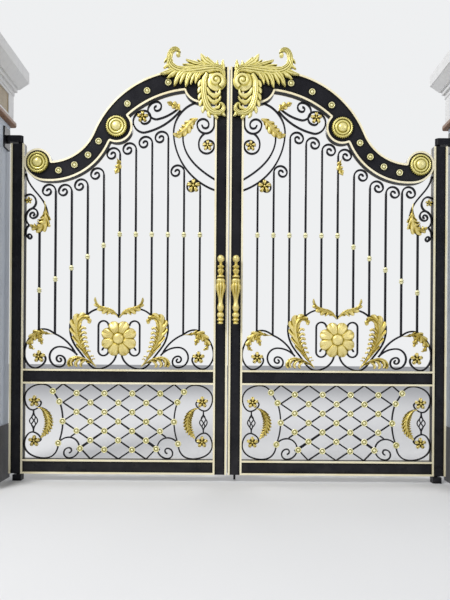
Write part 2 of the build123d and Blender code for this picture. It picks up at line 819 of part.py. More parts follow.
with BuildPart() as handle:
    with BuildSketch(Plane(origin=(handle_line, -handle_reach, 0), x_dir=(1, 0, 0), z_dir=(0, -1, 0))) as baluster:
        with BuildLine():
            Line((0, rise(0)), (8, rise(0.005)))
            ThreePointArc((8, rise(0.005)), (21, rise(0.085)), (13, rise(0.12)))
            Polyline((13, rise(0.12)), (23, rise(0.127)), (23, rise(0.152)), (12, rise(0.177)))
            ThreePointArc((12, rise(0.177)), (23, rise(0.255)), (14, rise(0.35)))
            ThreePointArc((14, rise(0.35)), (21, rise(0.45)), (34, rise(0.57)))
            ThreePointArc((34, rise(0.57)), (27, rise(0.65)), (16, rise(0.712)))
            Polyline((16, rise(0.712)), (24, rise(0.728)), (24, rise(0.753)), (14, rise(0.775)))
            ThreePointArc((14, rise(0.775)), (23, rise(0.825)), (12, rise(0.88)))
            ThreePointArc((12, rise(0.88)), (23, rise(0.945)), (8, rise(0.995)))
            Line((8, rise(0.995)), (0, rise(1)))
            Line((0, rise(1)), (0, rise(0)))
        make_face()
    revolve(baluster.sketch, axis=Axis((handle_line, -handle_reach, 0), (0, 0, 1)))
    with BuildSketch(front_plane(frame_face)) as posts:
        with Locations((handle_line, rise(0.255)), (handle_line, rise(0.825))):
            Circle(handle_post_size / 2)
    extrude(posts.sketch, amount=handle_standoff)
write_pair(handle, "handle")

# Drop bolt on the drive side of the right leaf, with its lifting knob and two guides
bolt_distance = trim_face + bolt_standoff
with BuildPart() as drop_bolt:
    with Locations((handle_line, bolt_distance, bolt_lift)):
        Cylinder(bolt_size / 2, bolt_length, align=(Align.CENTER, Align.CENTER, Align.MIN))
    with Locations((handle_line, bolt_distance, bolt_knob_level)):
        Cylinder(
            bolt_size / 2,
            bolt_knob_length,
            rotation=(90, 0, 0),
            align=(Align.CENTER, Align.CENTER, Align.MAX),
        )
write_piece(drop_bolt, "right_drop_bolt")

with BuildPart() as bolt_guides:
    for level in guide_levels:
        with Locations((handle_line, frame_face, level)):
            Box(
                guide_width,
                bolt_distance - frame_face + guide_wall,
                guide_height,
                align=(Align.CENTER, Align.MIN, Align.MIN),
            )
        with Locations((handle_line, bolt_distance, level)):
            Cylinder(
                bolt_size / 2 + bolt_clearance,
                guide_height,
                align=(Align.CENTER, Align.CENTER, Align.MIN),
                mode=Mode.SUBTRACT,
            )
write_piece(bolt_guides, "right_bolt_guides")

# Pillars: plinth, shaft, moulding and capital with a cornice, all square on plan
pillar_middle = (pillar_inner + pillar_size / 2, pillar_back - pillar_size / 2)


def square_block(bottom, top, overhang, top_overhang):
    """Build one square course of a pillar from its overhang at the foot to the one at its top."""
    with BuildSketch(Plane.XY.offset(bottom)) as lower_face:
        with Locations(pillar_middle):
            Rectangle(pillar_size + 2 * overhang, pillar_size + 2 * overhang)
    with BuildSketch(Plane.XY.offset(top)) as upper_face:
        with Locations(pillar_middle):
            Rectangle(pillar_size + 2 * top_overhang, pillar_size + 2 * top_overhang)
    loft([lower_face.sketch.face(), upper_face.sketch.face()])


with BuildPart() as pillar_plinth:
    square_block(0, plinth_top, plinth_overhang, plinth_overhang)
write_pair(pillar_plinth, "pillar_plinth")

with BuildPart() as pillar_shaft:
    square_block(plinth_top, shaft_top, 0, 0)
write_pair(pillar_shaft, "pillar_shaft")

with BuildPart() as pillar_moulding:
    square_block(shaft_top, moulding_top, moulding_overhang, moulding_overhang)
    fillet(pillar_moulding.edges().filter_by(Axis.Z, reverse=True), moulding_rounding)
write_pair(pillar_moulding, "pillar_moulding")

with BuildPart() as pillar_capital:
    square_block(moulding_top, frieze_top, frieze_overhang, frieze_overhang)
    course_foot = frieze_top
    for share, foot_overhang, top_overhang in capital_courses:
        course_top = frieze_top + (capital_top - frieze_top) * share
        square_block(course_foot, course_top, foot_overhang, top_overhang)
        course_foot = course_top
    frieze_face = pillar_size / 2 + frieze_overhang
    for turn in range(4):
        with Locations((*pillar_middle, (moulding_top + frieze_top) / 2)):
            with Locations(Rotation(0, 0, 90 * turn)):
                with Locations((frieze_face, 0, 0)):
                    Box(
                        2 * frieze_panel_depth,
                        frieze_panel_width,
                        frieze_panel_height,
                        mode=Mode.SUBTRACT,
                    )
write_pair(pillar_capital, "pillar_capital")

# Hinges: an upper bracket with a pin from each pillar, and a lower pivot block with a pin
with BuildPart() as hinge_bracket:
    with Locations((pillar_inner, 0, bracket_level - bracket_plate_drop)):
        Box(
            bracket_plate_thickness,
            bracket_plate_width,
            bracket_plate_height,
            align=(Align.MAX, Align.CENTER, Align.MIN),
        )
    with Locations((hinge_line, 0, bracket_level)):
        Cylinder(bracket_arm_size / 2, bracket_arm_height, align=(Align.CENTER, Align.CENTER, Align.MIN))
        Box(
            pillar_inner - hinge_line,
            bracket_arm_size,
            bracket_arm_height,
            align=(Align.MIN, Align.CENTER, Align.MIN),
        )
    with Locations((hinge_line, 0, hinge_stile_top + pin_clearance)):
        Cylinder(pin_size / 2, pin_length, align=(Align.CENTER, Align.CENTER, Align.MIN))
write_pair(hinge_bracket, "hinge_bracket")

with BuildPart() as pivot_block:
    with Locations((hinge_line, 0, 0)):
        Box(
            pivot_size,
            pivot_size,
            ground_clearance - pivot_clearance,
            align=(Align.CENTER, Align.CENTER, Align.MIN),
        )
        Cylinder(pin_size / 2, ground_clearance - pin_clearance, align=(Align.CENTER, Align.CENTER, Align.MIN))
write_pair(pivot_block, "pivot_block")
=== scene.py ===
"""Looks of a double-leaf wrought iron driveway gate between two masonry pillars."""

import json
import logging
import math
from abc import ABC, abstractmethod
from collections.abc import Callable
from dataclasses import dataclass
from enum import Enum
from functools import partial
from typing import ClassVar

import bmesh
import bpy
from mathutils import Matrix, Vector


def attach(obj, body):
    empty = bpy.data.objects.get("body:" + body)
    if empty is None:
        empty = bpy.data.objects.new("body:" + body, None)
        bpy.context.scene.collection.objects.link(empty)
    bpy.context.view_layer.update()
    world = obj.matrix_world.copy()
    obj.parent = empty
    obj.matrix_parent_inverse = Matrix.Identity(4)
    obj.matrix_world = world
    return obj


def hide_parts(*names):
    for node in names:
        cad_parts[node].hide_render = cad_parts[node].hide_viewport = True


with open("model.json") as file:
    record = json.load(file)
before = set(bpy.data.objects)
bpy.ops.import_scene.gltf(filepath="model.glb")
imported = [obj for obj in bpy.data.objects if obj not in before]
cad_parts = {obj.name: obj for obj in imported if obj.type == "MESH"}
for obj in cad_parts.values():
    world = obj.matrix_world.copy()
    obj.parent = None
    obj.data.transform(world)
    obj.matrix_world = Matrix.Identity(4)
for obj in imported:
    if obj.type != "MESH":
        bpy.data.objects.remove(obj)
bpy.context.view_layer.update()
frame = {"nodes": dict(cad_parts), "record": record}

logging.basicConfig(level=logging.INFO, format="%(message)s")
log = logging.getLogger("gate")

# One millimetre in the frame's metres
MM = 0.001
# Places and sizes on a leaf, in millimetres
LEAF_MIDDLE = 145.0
PANEL_INNER = 101.0
PANEL_OUTER = 1434.0
PANEL_MIDDLE = (PANEL_INNER + PANEL_OUTER) / 2
LATTICE_MIDDLE = 415.5
HALF_MESH_WIDTH = 98.0
HALF_MESH_HEIGHT = 66.125
BAR_SIZE = 14.0
LATTICE_SIZE = 10.0
FRAME_FACE = 25.0
TRIM_FACE = 31.0
# Step between the backs of castings that overlap
LAYER = 0.06

Color = tuple[float, float, float, float]
Place = tuple[float, float]
Station = tuple[float, ...]
Node = bpy.types.Node
Socket = bpy.types.NodeSocket
Mesh = bpy.types.Mesh
BMesh = bmesh.types.BMesh
BMVert = bmesh.types.BMVert


class Side(Enum):
    """The two leaves of the gate, by the sign of their place across it."""

    LEFT = -1
    RIGHT = 1

    @property
    def word(self) -> str:
        """Give the word that starts the names of this side's pieces."""
        return self.name.lower()


def across_middle(place: Place) -> Place:
    """Mirror a place about the middle of the leaf's panel.

    Args:
        place: distance across the leaf and height, in millimetres.

    Returns:
        The mirrored place.
    """
    return (2 * PANEL_MIDDLE - place[0], place[1])


def beside(inset: float, rise: float) -> Place:
    """Give a place in the lower panel.

    Args:
        inset: distance from the meeting stile, in millimetres.
        rise: height over the panel's middle, in millimetres.

    Returns:
        The place across the leaf and its height.
    """
    return (PANEL_INNER + inset, LATTICE_MIDDLE + rise)


def crossing(column: float, row: float) -> Place:
    """Give a crossing of the lattice.

    Args:
        column: number of half meshes from the panel's middle.
        row: number of half meshes over the panel's middle height.

    Returns:
        The place across the leaf and its height.
    """
    return (PANEL_MIDDLE + column * HALF_MESH_WIDTH, LATTICE_MIDDLE + row * HALF_MESH_HEIGHT)


# Finishes


@dataclass(frozen=True)
class GroupSocket:
    """One socket of a shader node group."""

    name: str
    way: str = "INPUT"
    kind: str = "NodeSocketFloat"
    value: float | None = None


class NodeSheet:
    """A node tree with short ways to add and join nodes."""

    def __init__(self, tree: bpy.types.NodeTree) -> None:
        """Take a node tree to draw on."""
        self.tree = tree

    def adjust(self, node: Node, **settings: object) -> Node:
        """Set a node.

        Args:
            node: the node.
            **settings: properties of the node, or the values of its sockets by name.

        Returns:
            The same node.
        """
        for key, value in settings.items():
            if hasattr(node, key):
                setattr(node, key, value)
            else:
                node.inputs[key.replace("_", " ")].default_value = value
        return node

    def add(self, kind: str, **settings: object) -> Node:
        """Add a node of a kind with its settings."""
        return self.adjust(self.tree.nodes.new(kind), **settings)

    def join(self, source: Socket, target: Socket) -> None:
        """Join an output to an input."""
        self.tree.links.new(source, target)

    def noise(self, place: Socket, scale: float, detail: float, rough: float) -> Socket:
        """Add a noise over a place.

        Args:
            place: the coordinates that the noise reads.
            scale: number of its patches in a metre.
            detail: number of its finer layers.
            rough: weight of the finer layers.

        Returns:
            The factor of the noise.
        """
        node = self.add("ShaderNodeTexNoise", Scale=scale, Detail=detail, Roughness=rough)
        self.join(place, node.inputs["Vector"])
        return node.outputs["Fac"]

    def span(
        self, value: Socket, low: float, high: float, to_low: float = 0.0, to_high: float = 1.0
    ) -> Socket:
        """Carry one span of values to another, held inside its ends.

        Args:
            value: the value to carry.
            low: value that becomes to_low.
            high: value that becomes to_high.
            to_low: first end of the new span.
            to_high: second end of the new span.

        Returns:
            The carried value.
        """
        node = self.add("ShaderNodeMapRange", From_Min=low, From_Max=high, To_Min=to_low, To_Max=to_high)
        self.join(value, node.inputs["Value"])
        return node.outputs["Result"]

    def math(self, operation: str, first: Socket, second: Socket | float) -> Socket:
        """Work out a value from two others.

        Args:
            operation: name of the sum.
            first: the first value.
            second: the second value, a socket or a number.

        Returns:
            The result.
        """
        node = self.add("ShaderNodeMath", operation=operation)
        self.join(first, node.inputs[0])
        if isinstance(second, float):
            node.inputs[1].default_value = second
        else:
            self.join(second, node.inputs[1])
        return node.outputs[0]

    def blend(self, first: Socket, second: Socket, share: float) -> Socket:
        """Add two values, the first by its share and the second by the rest."""
        rest = self.math("MULTIPLY", second, 1.0 - share)
        return self.math("ADD", self.math("MULTIPLY", first, share), rest)

    def mix(self, share: Socket, low: Socket | Color, high: Socket | Color, blend: str = "MIX") -> Socket:
        """Mix two colours.

        Args:
            share: how much of the second colour shows.
            low: the first colour, or a socket of one.
            high: the second colour, or a socket of one.
            blend: how the two are blended.

        Returns:
            The mixed colour.
        """
        node = self.add("ShaderNodeMix", data_type="RGBA", blend_type=blend)
        self.join(share, node.inputs["Factor"])
        for socket, value in ((node.inputs[6], low), (node.inputs[7], high)):
            if isinstance(value, Socket):
                self.join(value, socket)
            else:
                socket.default_value = value
        return node.outputs[2]


def start_group(name: str, sockets: tuple[GroupSocket, ...]) -> tuple[NodeSheet, Node, Node]:
    """Start a shader node group.

    Args:
        name: name of the group.
        sockets: its inputs and outputs.

    Returns:
        The sheet of the group, its input node and its output node.
    """
    tree = bpy.data.node_groups.new(name, "ShaderNodeTree")
    for socket in sockets:
        made = tree.interface.new_socket(name=socket.name, in_out=socket.way, socket_type=socket.kind)
        if socket.value is not None:
            made.default_value = socket.value
    sheet = NodeSheet(tree)
    return sheet, sheet.add("NodeGroupInput"), sheet.add("NodeGroupOutput")


def make_dust_group() -> bpy.types.NodeTree:
    """Build the group that lays road dust on a finish, thicker near the ground.

    Returns:
        The node group.
    """
    dust_color = (0.42, 0.39, 0.34, 1.0)
    thin_height = 0.9
    sheet, inside, outside = start_group(
        "road_dust",
        (
            GroupSocket("Color", kind="NodeSocketColor"),
            GroupSocket("Roughness"),
            GroupSocket("Amount", value=0.3),
            GroupSocket("Color", "OUTPUT", "NodeSocketColor"),
            GroupSocket("Roughness", "OUTPUT"),
        ),
    )
    coords = sheet.add("ShaderNodeTexCoord").outputs["Object"]
    place = sheet.add("ShaderNodeSeparateXYZ")
    sheet.join(coords, place.inputs[0])
    low = sheet.span(place.outputs["Z"], 0.0, thin_height, 1.0, 0.25)
    normal = sheet.add("ShaderNodeSeparateXYZ")
    sheet.join(sheet.add("ShaderNodeNewGeometry").outputs["Normal"], normal.inputs[0])
    upward = sheet.span(normal.outputs["Z"], 0.2, 1.0, 0.35, 1.0)
    patches = sheet.span(sheet.noise(coords, 9.0, 6.0, 0.65), 0.38, 0.68)
    amount = sheet.math("MULTIPLY", sheet.math("MULTIPLY", low, upward), patches)
    amount = sheet.math("MULTIPLY", amount, inside.outputs["Amount"])
    sheet.join(sheet.mix(amount, inside.outputs["Color"], dust_color), outside.inputs["Color"])
    rougher = sheet.math("ADD", inside.outputs["Roughness"], sheet.math("MULTIPLY", amount, 0.5))
    sheet.join(rougher, outside.inputs["Roughness"])
    return sheet.tree


def make_coat_group() -> bpy.types.NodeTree:
    """Build the group of a brushed or sprayed coat: soft waves, small pits and changes of gloss.

    Returns:
        The node group.
    """
    sheet, inside, outside = start_group(
        "sprayed_coat",
        (
            GroupSocket("Roughness", value=0.3),
            GroupSocket("Spread", value=0.15),
            GroupSocket("Height", "OUTPUT"),
            GroupSocket("Roughness", "OUTPUT"),
            GroupSocket("Cloud", "OUTPUT"),
        ),
    )
    coords = sheet.add("ShaderNodeTexCoord").outputs["Object"]
    waves = sheet.noise(coords, 60.0, 3.0, 0.5)
    peel = sheet.noise(coords, 420.0, 2.0, 0.5)
    cloud = sheet.noise(coords, 5.0, 4.0, 0.6)
    sheet.join(sheet.blend(waves, peel, 0.75), outside.inputs["Height"])
    change = sheet.math("MULTIPLY", sheet.span(cloud, 0.3, 0.7, -0.5, 0.5), inside.outputs["Spread"])
    sheet.join(sheet.math("ADD", inside.outputs["Roughness"], change), outside.inputs["Roughness"])
    sheet.join(cloud, outside.inputs["Cloud"])
    return sheet.tree


class FinishKit:
    """The node groups that the finishes share."""

    def __init__(self) -> None:
        """Build each shared group once."""
        self.dust = make_dust_group()
        self.coat = make_coat_group()


@dataclass(frozen=True)
class Finish(ABC):
    """A surface of two tones with relief and road dust."""

    name: str
    light: Color
    dark: Color
    roughness: float
    dust: float

    @abstractmethod
    def surface(self, sheet: NodeSheet, kit: FinishKit) -> tuple[Socket, Socket | None, Node]:
        """Draw the surface's own nodes.

        Args:
            sheet: the material's nodes.
            kit: the shared node groups.

        Returns:
            Its colour, its roughness where that changes over it, and its bump node.
        """

    def build(self, kit: FinishKit) -> bpy.types.Material:
        """Build the material.

        Args:
            kit: the shared node groups.

        Returns:
            The new material.
        """
        material = bpy.data.materials.new(self.name)
        material.use_nodes = True
        sheet = NodeSheet(material.node_tree)
        shader = sheet.tree.nodes["Principled BSDF"]
        colour, roughness, bump = self.surface(sheet, kit)
        dust = sheet.add("ShaderNodeGroup", node_tree=kit.dust, Amount=self.dust, Roughness=self.roughness)
        sheet.join(colour, dust.inputs["Color"])
        if roughness is not None:
            sheet.join(roughness, dust.inputs["Roughness"])
        sheet.join(dust.outputs["Color"], shader.inputs["Base Color"])
        sheet.join(dust.outputs["Roughness"], shader.inputs["Roughness"])
        sheet.join(bump.outputs["Normal"], shader.inputs["Normal"])
        return material


@dataclass(frozen=True)
class PaintFinish(Finish):
    """Sprayed paint on iron or on a casting, with painted shade in its hollows and painted highlights on its
    open, raised places.
    """

    # Colour of the painted shade in hollows and creases
    hollow: Color
    # Colour of the painted highlight on open, raised places
    crest: Color
    # How far the occlusion looks for the painted shade, in metres
    hollow_reach: float
    metallic: float
    specular: float
    coat: float
    bump: float
    coat_roughness: float = 0.08
    # Strength of the painted highlight
    highlight_gain: float = 1.4

    def surface(self, sheet: NodeSheet, kit: FinishKit) -> tuple[Socket, Socket | None, Node]:
        """Draw the paint's nodes.

        Args:
            sheet: the material's nodes.
            kit: the shared node groups.

        Returns:
            Its colour, its roughness and its bump node.
        """
        coat = sheet.add("ShaderNodeGroup", node_tree=kit.coat, Roughness=self.roughness)
        cloud = coat.outputs["Cloud"]
        colour = sheet.mix(sheet.span(cloud, 0.35, 0.65), self.dark, self.light)
        # Painted shade: the shade colour is mixed in where the occlusion finds the surface hemmed in,
        # standing in for the shade in creases and recesses; depth is how much of it shows
        cavity = sheet.add("ShaderNodeAmbientOcclusion", samples=16, Distance=self.hollow_reach)
        depth = sheet.span(cavity.outputs["AO"], 0.42, 0.92, 1.0, 0.0)
        # Painted highlight: the crest colour is mixed in on open, raised places, standing in for the light
        # that catches them
        highlight_share = sheet.math("MULTIPLY", sheet.span(cavity.outputs["AO"], 0.90, 1.0), cloud)
        colour = sheet.mix(sheet.math("MULTIPLY", highlight_share, self.highlight_gain), colour, self.crest)
        colour = sheet.mix(depth, colour, self.hollow)
        bump = sheet.add("ShaderNodeBump", Strength=self.bump, Distance=0.002)
        sheet.join(coat.outputs["Height"], bump.inputs["Height"])
        sheet.adjust(
            sheet.tree.nodes["Principled BSDF"],
            Metallic=self.metallic,
            Specular_IOR_Level=self.specular,
            Coat_Weight=self.coat,
            Coat_Roughness=self.coat_roughness,
        )
        return colour, coat.outputs["Roughness"], bump


@dataclass(frozen=True)
class StoneFinish(Finish):
    """Painted render or stone with grain, cloudy tone and rain streaks."""

    grain: float
    streaks: float
    streak_scale: tuple[float, float, float] = (26.0, 26.0, 1.1)

    def surface(self, sheet: NodeSheet, kit: FinishKit) -> tuple[Socket, Socket | None, Node]:
        """Draw the stone's nodes.

        Args:
            sheet: the material's nodes.
            kit: the shared node groups; not used here.

        Returns:
            Its colour, no roughness, as it is even, and its bump node.
        """
        coords = sheet.add("ShaderNodeTexCoord").outputs["Object"]
        grain = sheet.noise(coords, self.grain, 6.0, 0.7)
        tone = sheet.blend(sheet.noise(coords, 3.0, 8.0, 0.62), grain, 0.6)
        colour = sheet.mix(sheet.span(tone, 0.35, 0.65), self.dark, self.light)
        stretch = sheet.add("ShaderNodeMapping", Scale=self.streak_scale)
        sheet.join(coords, stretch.inputs["Vector"])
        streak = sheet.span(sheet.noise(stretch.outputs["Vector"], 1.0, 5.0, 0.6), 0.52, 0.78)
        colour = sheet.mix(sheet.math("MULTIPLY", streak, self.streaks), colour, self.dark, "MULTIPLY")
        bump = sheet.add("ShaderNodeBump", Strength=0.35, Distance=0.003)
        sheet.join(grain, bump.inputs["Height"])
        return colour, None, bump


# In each paint the darkest colour is the painted shade of its hollows and the palest the painted highlight
# of its raised places; the stones carry neither.
FINISHES: dict[str, Finish] = {
    "black_paint": PaintFinish(
        "satin_black_paint",
        light=(0.009, 0.009, 0.011, 1.0), dark=(0.004, 0.004, 0.006, 1.0),
        hollow=(0.002, 0.002, 0.003, 1.0), crest=(0.015, 0.015, 0.019, 1.0), hollow_reach=0.02,
        metallic=0.0, specular=0.12, roughness=0.30, coat=0.05, bump=0.10, dust=0.10,
    ),
    # Painted shade: the near-black colour of the stop strip stands in for the shade in the gap between the
    # leaves
    "strip_rubber": PaintFinish(
        "gap_shade_strip_paint",
        light=(0.020, 0.020, 0.020, 1.0), dark=(0.012, 0.012, 0.012, 1.0),
        hollow=(0.006, 0.006, 0.006, 1.0), crest=(0.035, 0.034, 0.032, 1.0), hollow_reach=0.01,
        metallic=0.0, specular=0.3, roughness=0.65, coat=0.0, bump=0.12, dust=0.25,
    ),
    "pale_gold_trim": PaintFinish(
        "pale_gold_trim_paint",
        light=(0.88, 0.78, 0.50, 1.0), dark=(0.78, 0.66, 0.36, 1.0),
        hollow=(0.40, 0.30, 0.11, 1.0), crest=(0.92, 0.86, 0.64, 1.0), hollow_reach=0.008,
        metallic=0.15, specular=0.5, roughness=0.42, coat=0.1, bump=0.10, dust=0.20,
    ),
    # The lit copy of the gold casting paint, on the crest and the medallions
    "gold_casting": PaintFinish(
        "lit_gold_casting_paint",
        light=(0.77, 0.68, 0.14, 1.0), dark=(0.62, 0.53, 0.08, 1.0),
        hollow=(0.09, 0.065, 0.006, 1.0), crest=(0.95, 0.86, 0.42, 1.0), hollow_reach=0.012,
        metallic=0.35, specular=0.5, roughness=0.34, coat=0.2, bump=0.08, dust=0.12,
    ),
    # Painted shade: a darker, oranger copy of the same gold casting paint, on the lower leaves, flowers and
    # handle, standing in for the weaker light on them
    "warm_casting": PaintFinish(
        "shaded_gold_casting_paint",
        light=(0.62, 0.47, 0.06, 1.0), dark=(0.46, 0.33, 0.03, 1.0),
        hollow=(0.040, 0.024, 0.002, 1.0), crest=(0.93, 0.80, 0.36, 1.0), hollow_reach=0.016,
        metallic=0.45, specular=0.3, roughness=0.38, coat=0.05, bump=0.08, dust=0.14,
    ),
    "stud_casting": PaintFinish(
        "pale_gold_stud_paint",
        light=(0.86, 0.80, 0.36, 1.0), dark=(0.74, 0.68, 0.24, 1.0),
        hollow=(0.20, 0.19, 0.03, 1.0), crest=(0.97, 0.93, 0.62, 1.0), hollow_reach=0.006,
        metallic=0.25, specular=0.5, roughness=0.34, coat=0.2, bump=0.15, dust=0.12,
    ),
    "dark_stone": StoneFinish(
        "dark_plinth_stone", light=(0.10, 0.10, 0.11, 1.0), dark=(0.045, 0.045, 0.05, 1.0),
        grain=140.0, streaks=0.3, roughness=0.5, dust=0.5,
    ),
    "pale_stone": StoneFinish(
        "pale_blue_render", light=(0.66, 0.71, 0.78, 1.0), dark=(0.56, 0.61, 0.69, 1.0),
        grain=220.0, streaks=0.25, roughness=0.7, dust=0.3,
    ),
    "brown_stone": StoneFinish(
        "brown_moulding", light=(0.24, 0.12, 0.06, 1.0), dark=(0.15, 0.07, 0.035, 1.0),
        grain=160.0, streaks=0.3, roughness=0.5, dust=0.1,
    ),
    "tan_tile": StoneFinish(
        "tan_tile", light=(0.33, 0.25, 0.13, 1.0), dark=(0.24, 0.17, 0.085, 1.0),
        grain=200.0, streaks=0.2, roughness=0.5, dust=0.1,
    ),
    "cream_stone": StoneFinish(
        "cream_cornice", light=(0.78, 0.78, 0.775, 1.0), dark=(0.68, 0.675, 0.665, 1.0),
        grain=180.0, streaks=0.35, roughness=0.7, dust=0.1,
    ),
}


def put_down(mesh: BMesh, name: str) -> Mesh:
    """Keep a drawn mesh as mesh data.

    Args:
        mesh: the mesh, freed afterwards.
        name: name of the data.

    Returns:
        The mesh data.
    """
    data = bpy.data.meshes.new(name)
    mesh.to_mesh(data)
    mesh.free()
    return data


def add_object(name: str, data: bpy.types.ID) -> bpy.types.Object:
    """Add an object to the scene.

    Args:
        name: name of the object.
        data: its mesh, lamp or camera.

    Returns:
        The new object.
    """
    made = bpy.data.objects.new(name, data)
    bpy.context.scene.collection.objects.link(made)
    return made


@dataclass
class Workshop:
    """Holds the built finishes and turns meshes into pieces."""

    finishes: dict[str, bpy.types.Material]

    def dress_frame(self) -> None:
        """Give each CAD node the finish of its slot."""
        for part in frame["record"]["subparts"]:
            mesh = frame["nodes"][part["node"]].data
            mesh.materials.clear()
            mesh.materials.append(self.finishes[part["material_slot"]])

    def set_out(
        self,
        mesh: BMesh,
        name: str,
        body: str,
        smooth_degrees: float,
        finish: str,
        replaced: str | None = None,
    ) -> None:
        """Make a piece of a mesh that is drawn in metres and in place.

        Args:
            mesh: the mesh, freed afterwards.
            name: name of the piece.
            body: name of the body that it moves with.
            smooth_degrees: faces that meet flatter than this are shaded as one surface.
            finish: name of its finish.
            replaced: name of the CAD node that it stands for.
        """
        data = put_down(mesh, name)
        data.materials.append(self.finishes[finish])
        data.shade_smooth()
        data.set_sharp_from_angle(angle=math.radians(smooth_degrees))
        piece = add_object(name, data)
        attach(piece, body)
        if replaced is not None:
            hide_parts(replaced)
        log.info("%s: %d faces", name, len(data.polygons))


# Shaping of castings


def stand_up(mesh: BMesh, side: Side) -> None:
    """Carry a mesh drawn in millimetres (across, height, forward) to its place on a leaf.

    Args:
        mesh: the mesh to carry.
        side: the leaf that it belongs to.
    """
    carry = Matrix(
        (
            (side.value * MM, 0.0, 0.0, 0.0),
            (0.0, 0.0, -MM, LEAF_MIDDLE * MM),
            (0.0, MM, 0.0, 0.0),
            (0.0, 0.0, 0.0, 1.0),
        )
    )
    bmesh.ops.transform(mesh, matrix=carry, verts=mesh.verts)
    if side is Side.LEFT:
        bmesh.ops.reverse_faces(mesh, faces=mesh.faces)


def stamp(mesh: BMesh, data: Mesh, place: Matrix) -> None:
    """Add a copy of a finished shape to a mesh.

    Args:
        mesh: the mesh that it joins.
        data: the shape.
        place: where the copy goes.
    """
    count = len(mesh.verts)
    mesh.from_mesh(data)
    mesh.verts.ensure_lookup_table()
    bmesh.ops.transform(mesh, matrix=place, verts=mesh.verts[count:])


def facing(place: Place, base: float, scale: float = 1.0) -> Matrix:
    """Place a shape so that its own Z points forward from the gate.

    Args:
        place: its place across the leaf and its height.
        base: how far forward its back stands.
        scale: its size in shares of the shape's own.

    Returns:
        The matrix in drawn axes (across, height, forward).
    """
    return Matrix.Translation((*place, base)) @ Matrix.Scale(scale, 4)


def upright(place: Place, forward: float) -> Matrix:
    """Place a shape so that its own Z points up.

    Args:
        place: its place across the leaf and its height.
        forward: how far forward its axis stands.

    Returns:
        The matrix in drawn axes (across, height, forward).
    """
    return Matrix.Translation((*place, forward)) @ Matrix.Rotation(math.radians(-90.0), 4, "X")


def faces_of(verts: list[BMVert]) -> list[bmesh.types.BMFace]:
    """List the faces that use any of some points, each once and always in the same order."""
    return list(dict.fromkeys(face for vert in verts for face in vert.link_faces))


def close_back(mesh: BMesh, verts: list[BMVert], level: float) -> list[BMVert]:
    """Close a sheet into a casting with a flat back.

    Args:
        mesh: the mesh that holds the sheet.
        verts: the points of the sheet.
        level: how far forward the back stands.

    Returns:
        The points of the back.
    """
    grown = bmesh.ops.extrude_face_region(mesh, geom=faces_of(verts), use_keep_orig=True)
    backs = [item for item in grown["geom"] if isinstance(item, BMVert)]
    for vert in backs:
        vert.co.z = level
    bmesh.ops.recalc_face_normals(mesh, faces=faces_of([*verts, *backs]))
    return backs


@dataclass(frozen=True)
class Turned:
    """A turned or cast round shape, from a profile of (radius, rise) points that ends on its axis.

    Flutes are cut beyond the flute reach, over the whole height or over the flute spans alone.
    """

    profile: tuple[Place, ...]
    steps: int
    flutes: int = 0
    flute_depth: float = 0.0
    flute_spans: tuple[Place, ...] = ()
    flute_reach: float = 0.0
    weld: float = 0.02

    def flute(self, vert: BMVert) -> None:
        """Draw a point in as far as its flute is deep.

        Args:
            vert: the point.
        """
        if math.hypot(vert.co.x, vert.co.y) <= self.flute_reach:
            return
        ease = 0.0 if self.flute_spans else 1.0
        for low, high in self.flute_spans:
            if low < vert.co.z < high:
                ease = math.sin(math.pi * (vert.co.z - low) / (high - low)) ** 0.5
        turn = math.atan2(vert.co.y, vert.co.x)
        share = 1.0 - self.flute_depth * ease * (0.5 - 0.5 * math.cos(self.flutes * turn))
        vert.co.x *= share
        vert.co.y *= share

    def shape(self) -> Mesh:
        """Spin the profile about its own Z and cut the flutes.

        Returns:
            The finished shape.
        """
        mesh = bmesh.new()
        verts = [mesh.verts.new((radius, 0.0, rise)) for radius, rise in self.profile]
        edges = [mesh.edges.new(pair) for pair in zip(verts, verts[1:])]
        bmesh.ops.spin(
            mesh,
            geom=verts + edges,
            cent=(0.0, 0.0, 0.0),
            axis=(0.0, 0.0, 1.0),
            angle=math.tau,
            steps=self.steps,
            use_merge=True,
            use_duplicate=False,
        )
        bmesh.ops.remove_doubles(mesh, verts=mesh.verts, dist=self.weld)
        bmesh.ops.recalc_face_normals(mesh, faces=mesh.faces)
        if self.flutes:
            for vert in mesh.verts:
                self.flute(vert)
        return put_down(mesh, "turned_shape")


